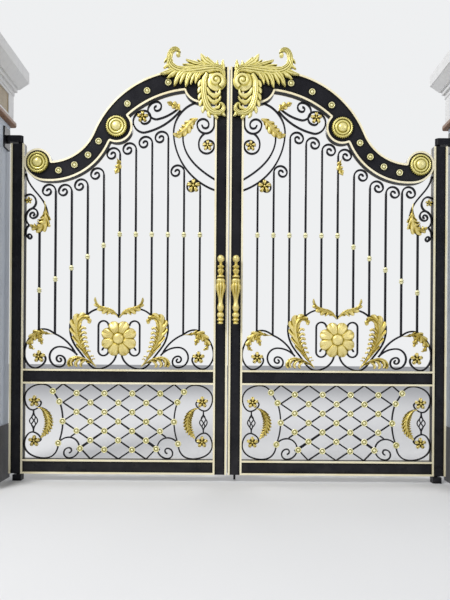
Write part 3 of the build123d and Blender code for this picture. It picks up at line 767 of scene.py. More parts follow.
@dataclass(frozen=True)
class Petal:
    """One cast petal that reaches outward along its own X."""

    inner: float
    outer: float
    half_width: float
    height: float
    groove: float = 0.0
    droop: float = 0.0
    steps: int = 8
    rows: int = 6
    veins: float = 0.0
    belly: float = 0.85
    waist: float = 0.0
    rim: float = 1.0
    least_width: float = 0.06
    groove_width: float = 0.2

    def add_to(self, mesh: BMesh, turn_degrees: float, base: float, layer: int) -> None:
        """Add the petal to a mesh as a closed casting with a flat back.

        Args:
            mesh: the mesh that it joins, with the flower's middle at its origin.
            turn_degrees: where the petal points.
            base: how far forward the petal starts.
            layer: its number among those that overlap, so that no two backs lie in one plane.
        """
        made = bmesh.ops.create_grid(mesh, x_segments=self.steps, y_segments=self.rows, size=1.0)
        verts = made["verts"]
        for vert in verts:
            along = (vert.co.x + 1.0) / 2.0
            over = vert.co.y
            round_off = math.sqrt(max(0.0, 1.0 - (2.0 * along**self.belly - 1.0) ** 2))
            waist = min(1.0, 1.0 - self.waist + (self.waist + 0.1) * along)
            width = self.half_width * max(self.least_width, round_off * waist)
            swell = max(0.0, math.sin(math.pi * along**0.8)) ** 0.5
            rise = self.height * (1.0 - over**2) ** 0.5 * swell
            rise -= self.groove * math.exp(-((over / self.groove_width) ** 2)) * along
            rise -= self.droop * along**2
            rise -= self.veins * (1.0 - abs(math.cos(1.5 * math.pi * over))) * (1.0 - over**2)
            reach = self.inner + (self.outer - self.inner) * along
            vert.co = Vector((reach, over * width, base + self.rim + max(0.0, rise)))
        backs = close_back(mesh, verts, layer * LAYER)
        turn = Matrix.Rotation(math.radians(turn_degrees), 4, "Z")
        bmesh.ops.transform(mesh, matrix=turn, verts=verts + backs)


def smooth_value(values: list[float], share: float) -> float:
    """Read a smooth curve through evenly spaced values.

    Args:
        values: the values, at least two.
        share: how far along the curve, 0 to 1.

    Returns:
        The value there.
    """
    spans = len(values) - 1
    place = min(max(share, 0.0), 1.0) * spans
    span = min(int(place), spans - 1)
    t = place - span
    p1 = values[span]
    p2 = values[span + 1]
    p0 = values[span - 1] if span > 0 else 2 * p1 - p2
    p3 = values[span + 2] if span + 2 <= spans else 2 * p2 - p1
    square = 2 * p0 - 5 * p1 + 4 * p2 - p3
    cube = 3 * p1 - p0 - 3 * p2 + p3
    return 0.5 * (2 * p1 + (p2 - p0) * t + square * t * t + cube * t * t * t)


@dataclass(frozen=True)
class CastLeaf:
    """A cast acanthus leaf that sweeps along a spine, with a round rib for each lobe of its edge.

    Each station gives the spine's place across the leaf, its height, and how far the casting
    reaches to the left and to the right of it, in one number where these are the same. Lobes
    stand on each edge between two stations, as many as the density says; the plain side, 1 for
    the right and -1 for the left, has none.
    """

    stations: tuple[Station, ...]
    bulge: float = 0.30
    lean: float = 1.5
    sweep: float = 0.10
    height: float = 16.0
    crown: float = 5.0
    rib: float = 8.0
    vein: float = 4.0
    threads: int = 0
    thread_height: float = 2.4
    steps: int = 8
    rows: int = 16
    tip_rise: float = 0.0
    plain_side: int = 0
    density: int = 1
    least_width: float = 0.5
    least_rise: float = 2.0
    end_ease: float = 5.0
    lobe_round: float = 0.6
    lobe_middle: float = 0.25
    plain_rib: float = 0.35
    flank_start: float = 0.1
    flank_width: float = 0.6
    vein_width: float = 0.13
    gutter: float = 0.6
    gutter_place: float = 0.3
    gutter_width: float = 0.1

    def spine(self, share: float) -> Vector:
        """Give the spine's place at a share of its length, 0 to 1."""
        return Vector([smooth_value([station[axis] for station in self.stations], share) for axis in (0, 1)])

    def surface(self, along: float, over: float) -> Vector:
        """Give a point of the leaf's front.

        Args:
            along: place along the spine, 0 to 1.
            over: place across the leaf, -1 to 1.

        Returns:
            The point as across, height and forward, in millimetres.
        """
        spread = abs(over)
        spans = len(self.stations) - 1
        lead = min(along + self.sweep * spread * spread * (1.0 - along), 1.0)
        reach = [station[-1] if over > 0 else station[2] for station in self.stations]
        step = 0.004
        ahead = self.spine(lead + step)
        behind = self.spine(lead - step)
        run = (ahead - behind).normalized()
        right = Vector((run.y, -run.x))
        place = along * spans * self.density
        inside = place - math.floor(place)
        lobe = math.sin(math.pi * inside**self.lean) ** self.lobe_round if 0.0 < inside < 1.0 else 0.0
        chord = (ahead - behind).length / (2 * step) / (spans * self.density)
        ends = min(1.0, self.end_ease * along, self.end_ease * (1.0 - along))
        plain = self.plain_side * over > 0.0
        bulge = 0.0 if plain else self.bulge * chord * (lobe - self.lobe_middle) * ends * spread**3
        width = max(self.least_width, smooth_value(reach, along)) + bulge
        flat = self.spine(lead) + right * (over * width)
        flank = min(max((spread - self.flank_start) / self.flank_width, 0.0), 1.0)
        rise = self.height - self.crown * spread**3
        rib = self.rib * (self.plain_rib if plain else 1.0)
        rise -= rib * (1.0 - lobe) * flank * flank * (3.0 - 2.0 * flank) * ends
        rise += self.vein * math.exp(-((over / self.vein_width) ** 2)) * ends
        beside_vein = (spread - self.gutter_place) / self.gutter_width
        rise -= self.vein * self.gutter * math.exp(-(beside_vein**2)) * ends
        if self.threads:
            ridge = abs(math.sin(math.pi * self.threads * (over + 1.0) / 2.0)) ** 0.6
            rise += self.thread_height * (ridge - 0.6) * ends
        rise += self.tip_rise * along**2
        return Vector((flat.x, flat.y, max(rise, self.least_rise)))

    def add_to(self, mesh: BMesh, back: float, flip: Callable[[Place], Place] | None = None) -> None:
        """Add the leaf to a mesh as a closed casting with a flat back.

        Args:
            mesh: the mesh that it joins.
            back: how far forward its back stands.
            flip: a way to mirror its places, if it is the mirrored one of a pair.
        """
        along_steps = self.steps * self.density * (len(self.stations) - 1)
        made = bmesh.ops.create_grid(mesh, x_segments=along_steps, y_segments=self.rows, size=1.0)
        verts = made["verts"]
        for vert in verts:
            point = self.surface((vert.co.x + 1.0) / 2.0, vert.co.y)
            if flip is not None:
                point.x, point.y = flip((point.x, point.y))
            vert.co = Vector((point.x, point.y, back + point.z))
        faces = faces_of(verts)
        bmesh.ops.recalc_face_normals(mesh, faces=faces)
        if sum(face.normal.z for face in faces) < 0:
            bmesh.ops.reverse_faces(mesh, faces=faces)
        close_back(mesh, verts, back)


# Sub-assemblies


@dataclass
class Castings(ABC):
    """Castings of one gate leaf that make one piece, in the place of a CAD node."""

    side: Side
    piece: ClassVar[str]
    node: ClassVar[str]
    finish: ClassVar[str] = "gold_casting"
    smooth_degrees: ClassVar[float] = 50.0

    @abstractmethod
    def draw(self, mesh: BMesh) -> None:
        """Draw the castings in millimetres: across, height and forward.

        Args:
            mesh: the mesh that they join.
        """

    def build(self, shop: Workshop) -> None:
        """Build the piece.

        Args:
            shop: the workshop that sets it out.
        """
        mesh = bmesh.new()
        self.draw(mesh)
        stand_up(mesh, self.side)
        word = self.side.word
        name = f"{word}_{self.piece}"
        replaced = f"{word}_{self.node}"
        shop.set_out(mesh, name, f"{word}_leaf", self.smooth_degrees, self.finish, replaced)


@dataclass
class Studs(Castings):
    """Ring studs on the lattice crossings and along the arch head."""

    piece = "ring_studs"
    node = "studs"
    finish = "stud_casting"
    size: float = 46.0
    steps: int = 20

    def places(self) -> tuple[list[Place], list[Place]]:
        """List the studs' places.

        Returns:
            The places on the lattice, and the places on the arch head.
        """
        meshes = [(column, row) for row in range(-2, 4) for column in range(-3, 4)]
        lattice = [crossing(column, row) for column, row in meshes if (column + row) % 2 == 0]
        lattice += [crossing(-1, -3), crossing(1, -3)]
        bowed = [beside(*place) for place in ((205, 211), (251, 138.5), (245, -153.5), (399, -191))]
        for place in (*bowed, crossing(-4, 0)):
            lattice += [place, across_middle(place)]
        arch = [(430, 2795), (578, 2736), (715, 2644), (915, 2380), (988, 2283), (1083, 2214), (1194, 2174)]
        return lattice, arch

    def draw(self, mesh: BMesh) -> None:
        """Draw the studs.

        Args:
            mesh: the mesh that they join.
        """
        half = self.size / 2
        ring = Turned(
            (
                (0, 0), (half - 1, 0), (half, 3), (half - 1, 7.5), (half - 4, 9.5), (half - 6.5, 8),
                (half - 8, 0.8), (half - 12, 0.6), (half - 13, 5), (half - 15, 9), (half - 19, 11.5),
                (0, 12.4),
            ),
            self.steps,
        ).shape()
        lattice, arch = self.places()
        for places, base in ((lattice, LATTICE_SIZE / 2), (arch, FRAME_FACE)):
            for place in places:
                stamp(mesh, ring, facing(place, base))


@dataclass
class Medallions(Castings):
    """Round medallions on the lobes of the arch head, with a milled rim, a groove, a ring and a dome."""

    piece = "milled_medallions"
    node = "medallions"
    size: float = 150.0
    steps: int = 96
    places: tuple[Place, ...] = ((791.0, 2486.0), (1340.0, 2230.0))

    def draw(self, mesh: BMesh) -> None:
        """Draw the medallions.

        Args:
            mesh: the mesh that they join.
        """
        half = self.size / 2
        plate = Turned(
            (
                (0, 31), (9, 30.4), (18, 28.4), (25, 25), (30, 20.5), (33, 15), (34.5, 11.5),
                (38, 13.5), (43, 15.5), (48, 15.5), (52, 13), (54.5, 9.5), (57.5, 9), (60, 13),
                (63, 17), (67, 18.5), (71, 17), (half - 0.5, 12), (half + 1.5, 6), (half + 1.5, 0),
                (0, 0),
            ),
            self.steps,
            flutes=32,
            flute_depth=0.09,
            flute_reach=59.0,
        ).shape()
        for place in self.places:
            stamp(mesh, plate, facing(place, FRAME_FACE))


@dataclass
class LeafCastings(Castings):
    """The cast leaves of one gate leaf: base, wing, side, heart, merge and lattice leaves."""

    piece = "cast_leaves"
    node = "leaves"
    # The darker gold copy: painted shade for these lower castings
    finish = "warm_casting"
    smooth_degrees = 60.0

    def paired(self) -> tuple[CastLeaf, ...]:
        """List the leaves that stand on both sides of the panel's middle.

        Returns:
            The leaves, on the meeting side.
        """
        tall = (
            (610, 803, 5), (572, 848, 16, 14), (532, 908, 24, 22), (499, 970, 34, 26), (481, 1032, 43, 28),
            (476, 1086, 46, 25), (489, 1128, 35, 19), (519, 1149, 20, 15), (548, 1141, 13), (561, 1120, 12),
            (554, 1106, 8),
        )
        low = (
            (612, 801, 3), (565, 834, 9, 8), (518, 855, 15, 11), (470, 864, 17, 14), (434, 850, 15),
            (416, 822, 12), (424, 800, 6),
        )
        wing = (
            (764, 1148, 4, 3), (738, 1180, 20, 12), (702, 1202, 32, 12), (664, 1212, 28, 12),
            (630, 1224, 16, 11), (608, 1248, 10, 9), (600, 1288, 3),
        )
        corner = (
            (312, 1028, 3), (272, 1031, 8), (232, 1040, 17, 13), (190, 1036, 22, 20), (160, 1002, 19, 18),
            (144, 960, 11, 12), (156, 930, 7, 8), (176, 924, 3),
        )
        corner_lobe = ((196, 1040, 12), (210, 1004, 16), (222, 976, 10), (228, 954, 3))
        found = [
            CastLeaf(tall, sweep=0.14, rib=9.0, vein=5.0, height=19.0, plain_side=1),
            CastLeaf(low, bulge=0.3, lean=2.0, rib=9.0, plain_side=1),
            CastLeaf(wing, bulge=0.4, lean=2.0, rib=9.0, plain_side=1),
            CastLeaf(corner, lean=2.0, rib=9.0),
            CastLeaf(corner_lobe, height=12.0),
        ]
        curl = partial(CastLeaf, bulge=0.05, rib=1.5, vein=0.0, threads=1, rows=12)
        hook = ((-28, -26, 4), (-16, -9, 8), (-2, 0, 8), (10, -4, 7), (12, -12, 4))
        for across, height, size in (
            (520, 1076, 1.1), (523, 1042, 1.15), (527, 1010, 1.15), (533, 978, 1.1), (542, 946, 1.0),
            (556, 914, 0.85), (582, 878, 0.6), (594, 858, 0.5),
        ):
            stations = tuple((across + x * size, height + z * size, reach * size) for x, z, reach in hook)
            found.append(curl(stations, height=22.0, crown=9.0))
        for finger in (
            ((482, 864, 4), (448, 856, 9), (434, 834, 11), (438, 812, 9), (446, 806, 4)),
            ((514, 858, 4), (482, 846, 9), (466, 824, 11), (470, 806, 8), (478, 801, 4)),
            ((544, 846, 4), (516, 834, 8), (502, 816, 9), (506, 802, 6), (512, 799, 3)),
        ):
            found.append(curl(finger, height=20.0, crown=10.0))
        return tuple(found)

    def single(self) -> tuple[CastLeaf, ...]:
        """List the leaves that stand once on a gate leaf.

        Returns:
            The leaves.
        """
        heart = (
            (222, 2548, 10, 9), (250, 2536, 25, 24), (280, 2508, 34, 33), (304, 2476, 34, 31),
            (334, 2450, 26, 25), (366, 2434, 16, 18), (394, 2440, 5),
        )
        side = (
            (1294, 1962, 3), (1288, 1916, 14), (1286, 1874, 26), (1290, 1832, 38),
            (1308, 1796, 30, 32), (1340, 1776, 20, 22), (1374, 1782, 12, 14), (1392, 1796, 4),
        )
        merge = ((344, 2604, 5), (368, 2630, 22, 18), (402, 2646, 16, 12), (438, 2662, 3))
        hanging = ((790, 2270, 3), (774, 2236, 13, 10), (778, 2200, 18, 12), (800, 2158, 3))
        return (
            CastLeaf(heart, bulge=0.2, lean=2.0, rib=9.0),
            CastLeaf(side, bulge=0.5, lean=2.2, sweep=0.2, rib=10.0),
            CastLeaf(merge),
            CastLeaf(hanging, height=13.0),
        )

    def lattice_leaf(self) -> CastLeaf:
        """Give the leaf that stands beside the lattice.

        Returns:
            The leaf, on the meeting side.
        """
        stations = tuple(
            (*beside(inset, rise), *reach)
            for inset, rise, *reach in (
                (100, 98, 6), (130, 90, 17, 16), (158, 60, 24, 19), (174, 16, 28, 21), (173, -30, 26, 19),
                (155, -74, 17, 13), (126, -114, 5),
            )
        )
        return CastLeaf(stations, bulge=0.5, lean=2.2, sweep=0.2, rib=8.0, density=2, steps=6)

    def draw(self, mesh: BMesh) -> None:
        """Draw the cast leaves.

        Args:
            mesh: the mesh that they join.
        """
        base = BAR_SIZE / 2
        for layer, leaf in enumerate(self.paired()):
            for flip in (None, across_middle):
                leaf.add_to(mesh, base + layer * LAYER, flip)
        for leaf in self.single():
            leaf.add_to(mesh, base)
        for flip in (None, across_middle):
            self.lattice_leaf().add_to(mesh, LATTICE_SIZE / 2, flip)


@dataclass
class Collars(Castings):
    """Gold collars on the bars, level on the inner bars and stepping down towards the hinge."""

    piece = "bead_collars"
    node = "collars"
    finish = "stud_casting"
    width: float = 34.0
    height: float = 36.0
    level: float = 1734.0
    drop: float = 79.6
    level_count: int = 6
    count: int = 11
    first_gap: float = 101.5
    pitch: float = 113.0
    steps: int = 24

    def draw(self, mesh: BMesh) -> None:
        """Draw the collars, each as two alike beads about its middle.

        Args:
            mesh: the mesh that they join.
        """
        wide = self.width / 2
        tall = self.height / 2
        upper = (
            (0.66, 0.08), (0.97, 0.2), (1, 0.36), (0.9, 0.56), (0.66, 0.7), (0.62, 0.86), (0.56, 1), (0, 1),
        )
        profile = [(wide * reach, -tall * rise) for reach, rise in reversed(upper)]
        profile += [(wide * reach, tall * rise) for reach, rise in upper]
        bead = Turned(tuple(profile), self.steps).shape()
        for number in range(self.count):
            across = PANEL_INNER + self.first_gap + number * self.pitch
            level = self.level - max(0, number - self.level_count + 1) * self.drop
            stamp(mesh, bead, upright((across, level), 0.0))


@dataclass(frozen=True)
class Flower:
    """A cast flower about its own middle: petals, fillers behind their gaps, and a core."""

    petals: int
    first_degrees: float
    petal: Petal
    filler: Petal
    base: float
    core: Turned
    filler_drop: float = 2.0

    def shape(self) -> Mesh:
        """Cast the flower.

        Returns:
            The finished shape.
        """
        mesh = bmesh.new()
        between = 180.0 / self.petals
        for number in range(self.petals):
            turn = self.first_degrees + 2.0 * between * number
            self.petal.add_to(mesh, turn, self.base, 1 + number)
            self.filler.add_to(mesh, turn + between, self.base - self.filler_drop, 1 + number + self.petals)
        stamp(mesh, self.core.shape(), Matrix.Identity(4))
        return put_down(mesh, "flower")


@dataclass
class Flowers(Castings):
    """The big eight-petal flower of the base ornament and the small flowers on the scroll ends."""

    piece = "cast_flowers"
    node = "flowers"
    # The darker gold copy: painted shade for these lower castings
    finish = "warm_casting"
    smooth_degrees = 60.0
    big_size: float = 250.0
    big_place: Place = (767.5, 1000.0)
    small_size: float = 100.0
    lattice_inset: float = 76.0
    lattice_rise: float = 140.0
    lattice_scale: float = 0.8

    def big_flower(self) -> Flower:
        """Give the big flower.

        Returns:
            The flower.
        """
        half = self.big_size / 2
        petal = Petal(
            half * 0.12, half * 1.03, half * 0.36, 28.0, groove=9.0, droop=5.0, steps=20, rows=20,
            veins=4.4, belly=1.15, waist=0.38,
        )
        filler = Petal(half * 0.3, half * 0.84, half * 0.2, 8.0, steps=10, rows=8)
        core = (
            (0, 0), (half * 0.33, 0), (half * 0.33, 20), (half * 0.31, 27), (half * 0.26, 33),
            (half * 0.18, 37), (half * 0.09, 39), (0, 39.5),
        )
        return Flower(8, 22.5, petal, filler, 3.0, Turned(core, 36))

    def small_flower(self) -> Flower:
        """Give a small flower.

        Returns:
            The flower.
        """
        petal = Petal(
            7.0, 52.0, 18.0, 20.0, groove=9.0, droop=-5.0, steps=14, rows=12, veins=2.0, belly=1.2,
            waist=0.5,
        )
        filler = Petal(7.0, 36.0, 6.0, 3.0)
        core = ((0, 0), (12, 0), (10.5, 8), (9.5, 16), (6, 20), (0, 21.5))
        return Flower(5, 90.0, petal, filler, 2.0, Turned(core, 20))

    def draw(self, mesh: BMesh) -> None:
        """Draw the flowers.

        Args:
            mesh: the mesh that they join.
        """
        small = self.small_flower().shape()
        for across, height, size in (
            (250, 2077, 92), (611, 2560, 80), (152, 2361, 72), (1408, 1968, 50), (206, 870, 86),
            (1328, 870, 86),
        ):
            stamp(mesh, small, facing((across, height), BAR_SIZE / 2, size / self.small_size))
        for rise in (self.lattice_rise, -self.lattice_rise):
            place = beside(self.lattice_inset, rise)
            for spot in (place, across_middle(place)):
                stamp(mesh, small, facing(spot, LATTICE_SIZE / 2, self.lattice_scale))
        stamp(mesh, self.big_flower().shape(), facing(self.big_place, BAR_SIZE / 2))


@dataclass
class Crest(Castings):
    """The cast crest over the meeting stile: a long leaf with a curled tip, a volute and a hanging leaf."""

    piece = "cast_crest"
    node = "crest"
    smooth_degrees = 60.0
    volute_middle: Place = (92.0, 2804.0)
    volute_reach: float = 64.0
    volute_turns: float = 1.5
    tip_ball: Place = (360.0, 2982.0)

    def fingers(self) -> tuple[CastLeaf, ...]:
        """List the leaves that fan out of the long leaf, above and below it.

        Returns:
            The leaves.
        """
        wide = (
            (21.0, ((96, 2866, 5), (150, 2876, 13), (200, 2866, 19), (230, 2830, 15), (240, 2782, 3))),
            (24.0, ((110, 2878, 5), (190, 2884, 14), (256, 2868, 21), (292, 2822, 17), (308, 2758, 3))),
            (27.0, ((130, 2888, 5), (230, 2890, 14), (312, 2872, 22), (358, 2830, 18), (388, 2766, 3))),
            (24.0, ((190, 2896, 5), (290, 2892, 14), (370, 2884, 20), (430, 2864, 15), (484, 2848, 3))),
            (25.0, ((84, 2876, 5), (126, 2912, 20), (170, 2942, 23), (202, 2986, 5))),
            (23.0, ((84, 2880, 5), (108, 2910, 16), (138, 2936, 16), (158, 2966, 4))),
            (23.0, ((160, 2898, 5), (210, 2916, 16), (256, 2930, 14), (306, 2948, 3))),
            (22.0, ((66, 2850, 5), (48, 2886, 15), (50, 2916, 14), (48, 2946, 5))),
        )
        narrow = (
            (20.0, ((84, 2870, 4), (84, 2900, 14), (90, 2922, 12), (86, 2942, 4))),
            (20.0, ((120, 2888, 4), (176, 2916, 14), (204, 2934, 9), (226, 2950, 2))),
            (19.0, ((220, 2900, 4), (272, 2908, 13), (302, 2914, 8), (330, 2916, 2))),
            (22.0, ((230, 2880, 4), (296, 2862, 15), (330, 2822, 12), (348, 2778, 2))),
            (20.0, ((190, 2872, 4), (236, 2852, 14), (262, 2812, 10), (274, 2774, 2))),
            (22.0, ((300, 2882, 4), (366, 2864, 15), (408, 2842, 11), (436, 2816, 2))),
            (24.0, ((392, 2900, 4), (420, 2908, 13), (440, 2904, 9), (462, 2886, 2))),
            (22.0, ((410, 2940, 4), (432, 2950, 12), (446, 2944, 8), (458, 2926, 2))),
        )
        finger = partial(CastLeaf, bulge=0.08, lean=2.2, sweep=0.16, vein=0.0)
        broad = partial(finger, crown=12.0, rib=1.5, threads=2, thread_height=4.6, steps=14, rows=24)
        slim = partial(finger, crown=9.0, rib=1.0, threads=1, thread_height=3.0, steps=12, rows=16)
        found = [broad(stations, height=height) for height, stations in wide]
        found += [slim(stations, height=height) for height, stations in narrow]
        return tuple(found)

    def curls(self) -> tuple[CastLeaf, ...]:
        """List the crescent curls inside the hanging leaf and the small lobes on its outside.

        Returns:
            The leaves.
        """
        inner = (
            ((160, 2752, 12), (138, 2714, 17, 13), (104, 2700, 15, 11), (76, 2712, 11, 9), (66, 2740, 5)),
            ((156, 2694, 12), (130, 2664, 15, 11), (100, 2656, 13, 10), (76, 2668, 9, 8), (62, 2692, 4)),
            ((128, 2598, 12), (98, 2606, 11, 10), (74, 2622, 9, 8), (66, 2642, 5)),
        )
        outer = (
            ((172, 2806, 12), (196, 2796, 17), (210, 2778, 15), (216, 2758, 6)),
            ((176, 2764, 12), (198, 2752, 17), (211, 2734, 15), (217, 2716, 6)),
            ((176, 2718, 12), (197, 2706, 17), (209, 2688, 14), (214, 2670, 6)),
            ((172, 2672, 12), (192, 2660, 16), (203, 2642, 13), (207, 2624, 6)),
            ((160, 2630, 12), (178, 2614, 15), (186, 2596, 12), (188, 2578, 5)),
            ((136, 2600, 12), (144, 2576, 15), (142, 2560, 12), (132, 2546, 5)),
            ((98, 2588, 12), (98, 2564, 14), (92, 2552, 10), (80, 2541, 4)),
            ((58, 2598, 11), (46, 2576, 12), (38, 2566, 8), (28, 2558, 3)),
        )
        crescent = partial(CastLeaf, bulge=0.1, height=23.0, crown=11.0, rib=1.5, vein=2.0, threads=2)
        lobe = partial(CastLeaf, bulge=0.0, height=19.0, crown=8.0, rib=0.0, vein=0.0, threads=1)
        found = [crescent(stations, steps=10, rows=12) for stations in inner]
        found += [lobe(stations, steps=8, rows=12) for stations in outer]
        return tuple(found)

    def long_leaf(self) -> CastLeaf:
        """Give the long leaf that runs from the volute to the curled tip.

        Returns:
            The leaf.
        """
        stations = (
            (54, 2776, 10), (42, 2830, 12, 14), (56, 2878, 18, 20), (100, 2896, 24, 30), (160, 2892, 27, 34),
            (230, 2882, 26, 34), (300, 2874, 25, 34), (362, 2880, 24, 32), (406, 2908, 22, 28),
            (422, 2954, 22, 20), (412, 3002, 19, 16), (384, 3022, 14), (358, 3014, 12, 10), (348, 2996, 6),
        )
        return CastLeaf(
            stations, bulge=0.04, sweep=0.0, height=26.0, crown=12.0, rib=0.0, vein=0.0, threads=4,
            thread_height=6.0, rows=40, tip_rise=6.0,
        )

    def hanging_leaf(self) -> CastLeaf:
        """Give the leaf that hangs in a C from the long leaf.

        Returns:
            The leaf.
        """
        stations = (
            (160, 2850, 12), (180, 2806, 17, 19), (182, 2756, 20, 22), (178, 2706, 22),
            (168, 2656, 23, 24), (148, 2612, 24), (114, 2584, 20, 22), (76, 2578, 16, 18),
            (48, 2594, 13, 16), (42, 2622, 12), (58, 2642, 10, 8), (74, 2636, 5),
        )
        return CastLeaf(
            stations, bulge=0.06, sweep=0.0, height=28.0, crown=13.0, rib=0.0, vein=0.0, threads=3,
            thread_height=4.5, rows=30,
        )

    def volute(self) -> CastLeaf:
        """Give the coil at the crest's inner end.

        Returns:
            The coil.
        """
        count = 14
        turns = []
        for number in range(count + 1):
            turned = self.volute_turns * number / count
            reach = self.volute_reach * (0.78 - 0.46 * turned)
            angle = math.radians(-60.0 + 360.0 * turned)
            across = self.volute_middle[0] - reach * math.cos(angle)
            height = self.volute_middle[1] + reach * math.sin(angle)
            turns.append((across, height, self.volute_reach * (0.24 - 0.07 * turned)))
        return CastLeaf(
            tuple(turns), bulge=0.0, sweep=0.0, height=30.0, crown=11.0, rib=0.0, vein=0.0, threads=1,
            thread_height=1.0, rows=14, tip_rise=9.0,
        )

    def draw(self, mesh: BMesh) -> None:
        """Draw the crest.

        Args:
            mesh: the mesh that it joins.
        """
        leaves = (self.long_leaf(), self.hanging_leaf(), self.volute(), *self.fingers(), *self.curls())
        for layer, leaf in enumerate(leaves):
            leaf.add_to(mesh, TRIM_FACE + (layer + 1) * LAYER)
        eye = ((0, 0), (70, 0), (68, 7), (50, 10), (30, 21), (16, 29), (13, 35), (8, 39), (0, 40))
        stamp(mesh, Turned(eye, 40).shape(), facing(self.volute_middle, TRIM_FACE))
        tip = ((0, 0), (15, 0), (15, 19), (12, 26), (6, 30), (0, 31))
        stamp(mesh, Turned(tip, 24).shape(), facing(self.tip_ball, TRIM_FACE))


@dataclass
class Handle(Castings):
    """The pull handle: a fluted cast baluster on two posts in front of the meeting stile."""

    piece = "fluted_handle"
    node = "handle"
    # The darker gold copy: painted shade for the handle
    finish = "warm_casting"
    across: float = 53.0
    reach: float = 65.0
    post_levels: tuple[float, float] = (1226.0, 1500.0)
    steps: int = 48

    def draw(self, mesh: BMesh) -> None:
        """Draw the handle.

        Args:
            mesh: the mesh that it joins.
        """
        baluster = Turned(
            (
                (0, 1105), (14, 1105.4), (17.5, 1107.5), (18.5, 1111), (17, 1116), (13, 1120),
                (13, 1123), (18, 1128), (22, 1131.5), (23.5, 1135), (22, 1138.5), (17, 1143),
                (14.5, 1148), (18, 1154), (22, 1160), (24, 1168), (22.5, 1176), (17, 1183),
                (12.5, 1187), (14, 1193), (18.5, 1203), (22, 1213), (22.7, 1222), (20.5, 1232),
                (16.5, 1243), (14.2, 1254), (14.6, 1266), (16, 1280), (18, 1294), (21, 1308),
                (25, 1322), (29.5, 1336), (33, 1348), (35, 1360), (34.5, 1371), (31, 1381),
                (28.5, 1388), (29.5, 1395), (31.5, 1403), (31, 1411), (25, 1418), (16, 1422),
                (18, 1425), (24, 1428), (25.5, 1433), (24.5, 1438), (19, 1442), (13.5, 1446),
                (14.5, 1454), (18, 1463), (21.5, 1471), (22.7, 1478), (20, 1482), (13, 1485),
                (13.5, 1490), (18, 1496), (22, 1502), (22.5, 1507), (17, 1511), (10, 1515),
                (9, 1520), (11, 1525), (9, 1530), (11, 1534), (18, 1540), (22.5, 1547),
                (24, 1556), (22.5, 1566), (18, 1575), (10, 1581.5), (0, 1584),
            ),
            self.steps,
            flutes=8,
            flute_depth=0.26,
            flute_spans=((1262, 1421), (1449, 1484), (1487, 1514)),
        ).shape()
        length = self.reach - FRAME_FACE
        post = Turned(((0, 0), (17, 0), (17, 3), (11, 7), (8.5, 14), (8.5, length), (0, length)), 24).shape()
        stamp(mesh, baluster, upright((self.across, 0.0), self.reach))
        for level in self.post_levels:
            stamp(mesh, post, facing((self.across, level), FRAME_FACE))


@dataclass
class ClosingStrip:
    """A stop strip on the right leaf's meeting stile, which narrows the gap between the leaves; its
    near-black colour is painted shade, standing in for the shade in the gap.
    """

    leaf_edge: float = 5.0
    thickness: float = 4.4
    depth: float = 22.0
    foot: float = 62.0
    top: float = 2896.0
    rounding: float = 1.2

    def build(self, shop: Workshop) -> None:
        """Build the strip.

        Args:
            shop: the workshop that sets the piece out.
        """
        mesh = bmesh.new()
        bmesh.ops.create_cube(mesh, size=1.0)
        bmesh.ops.scale(mesh, vec=(self.thickness, self.top - self.foot, self.depth), verts=mesh.verts)
        bmesh.ops.bevel(
            mesh,
            geom=[edge for edge in mesh.edges if edge.verts[0].co.x < 0.0 and edge.verts[1].co.x < 0.0],
            offset=self.rounding,
            segments=3,
            profile=0.5,
            affect="EDGES",
            material=-1,
        )
        middle = (self.leaf_edge - self.thickness / 2, (self.top + self.foot) / 2, 0.0)
        bmesh.ops.translate(mesh, vec=middle, verts=mesh.verts)
        stand_up(mesh, Side.RIGHT)
        shop.set_out(mesh, "right_closing_strip", "right_leaf", 50.0, "strip_rubber")


@dataclass
class FriezeTiles:
    """Tan tiles set into the recesses of a pillar's frieze, one on each face."""

    side: Side
    pillar_middle: float = 1800.0
    recess_floor: float = 234.0
    level: float = 2653.0
    width: float = 294.0
    height: float = 134.0
    thickness: float = 5.0
    border: float = 12.0
    slope: float = 2.0
    sink: float = 1.5

    def build(self, shop: Workshop) -> None:
        """Build the tiles of one pillar.

        Args:
            shop: the workshop that sets the piece out.
        """
        tile = bmesh.new()
        bmesh.ops.create_cube(tile, size=1.0)
        bmesh.ops.scale(tile, vec=(self.width, self.thickness, self.height), verts=tile.verts)
        front = [face for face in tile.faces if face.normal.y < -0.5]
        bmesh.ops.inset_region(tile, faces=front, thickness=self.border, depth=0.0)
        bmesh.ops.inset_region(tile, faces=front, thickness=self.slope, depth=-self.sink)
        middle = (0.0, -self.recess_floor - self.thickness / 2, self.level)
        bmesh.ops.translate(tile, vec=middle, verts=tile.verts)
        data = put_down(tile, "frieze_tile")
        mesh = bmesh.new()
        pillar = Matrix.Translation((self.side.value * self.pillar_middle, 0.0, 0.0))
        for quarter in range(4):
            stamp(mesh, data, pillar @ Matrix.Rotation(math.radians(90.0 * quarter), 4, "Z"))
        bmesh.ops.scale(mesh, vec=(MM, MM, MM), verts=mesh.verts)
        shop.set_out(mesh, f"{self.side.word}_frieze_tiles", "pillars", 30.0, "tan_tile")


# Room, lights and camera


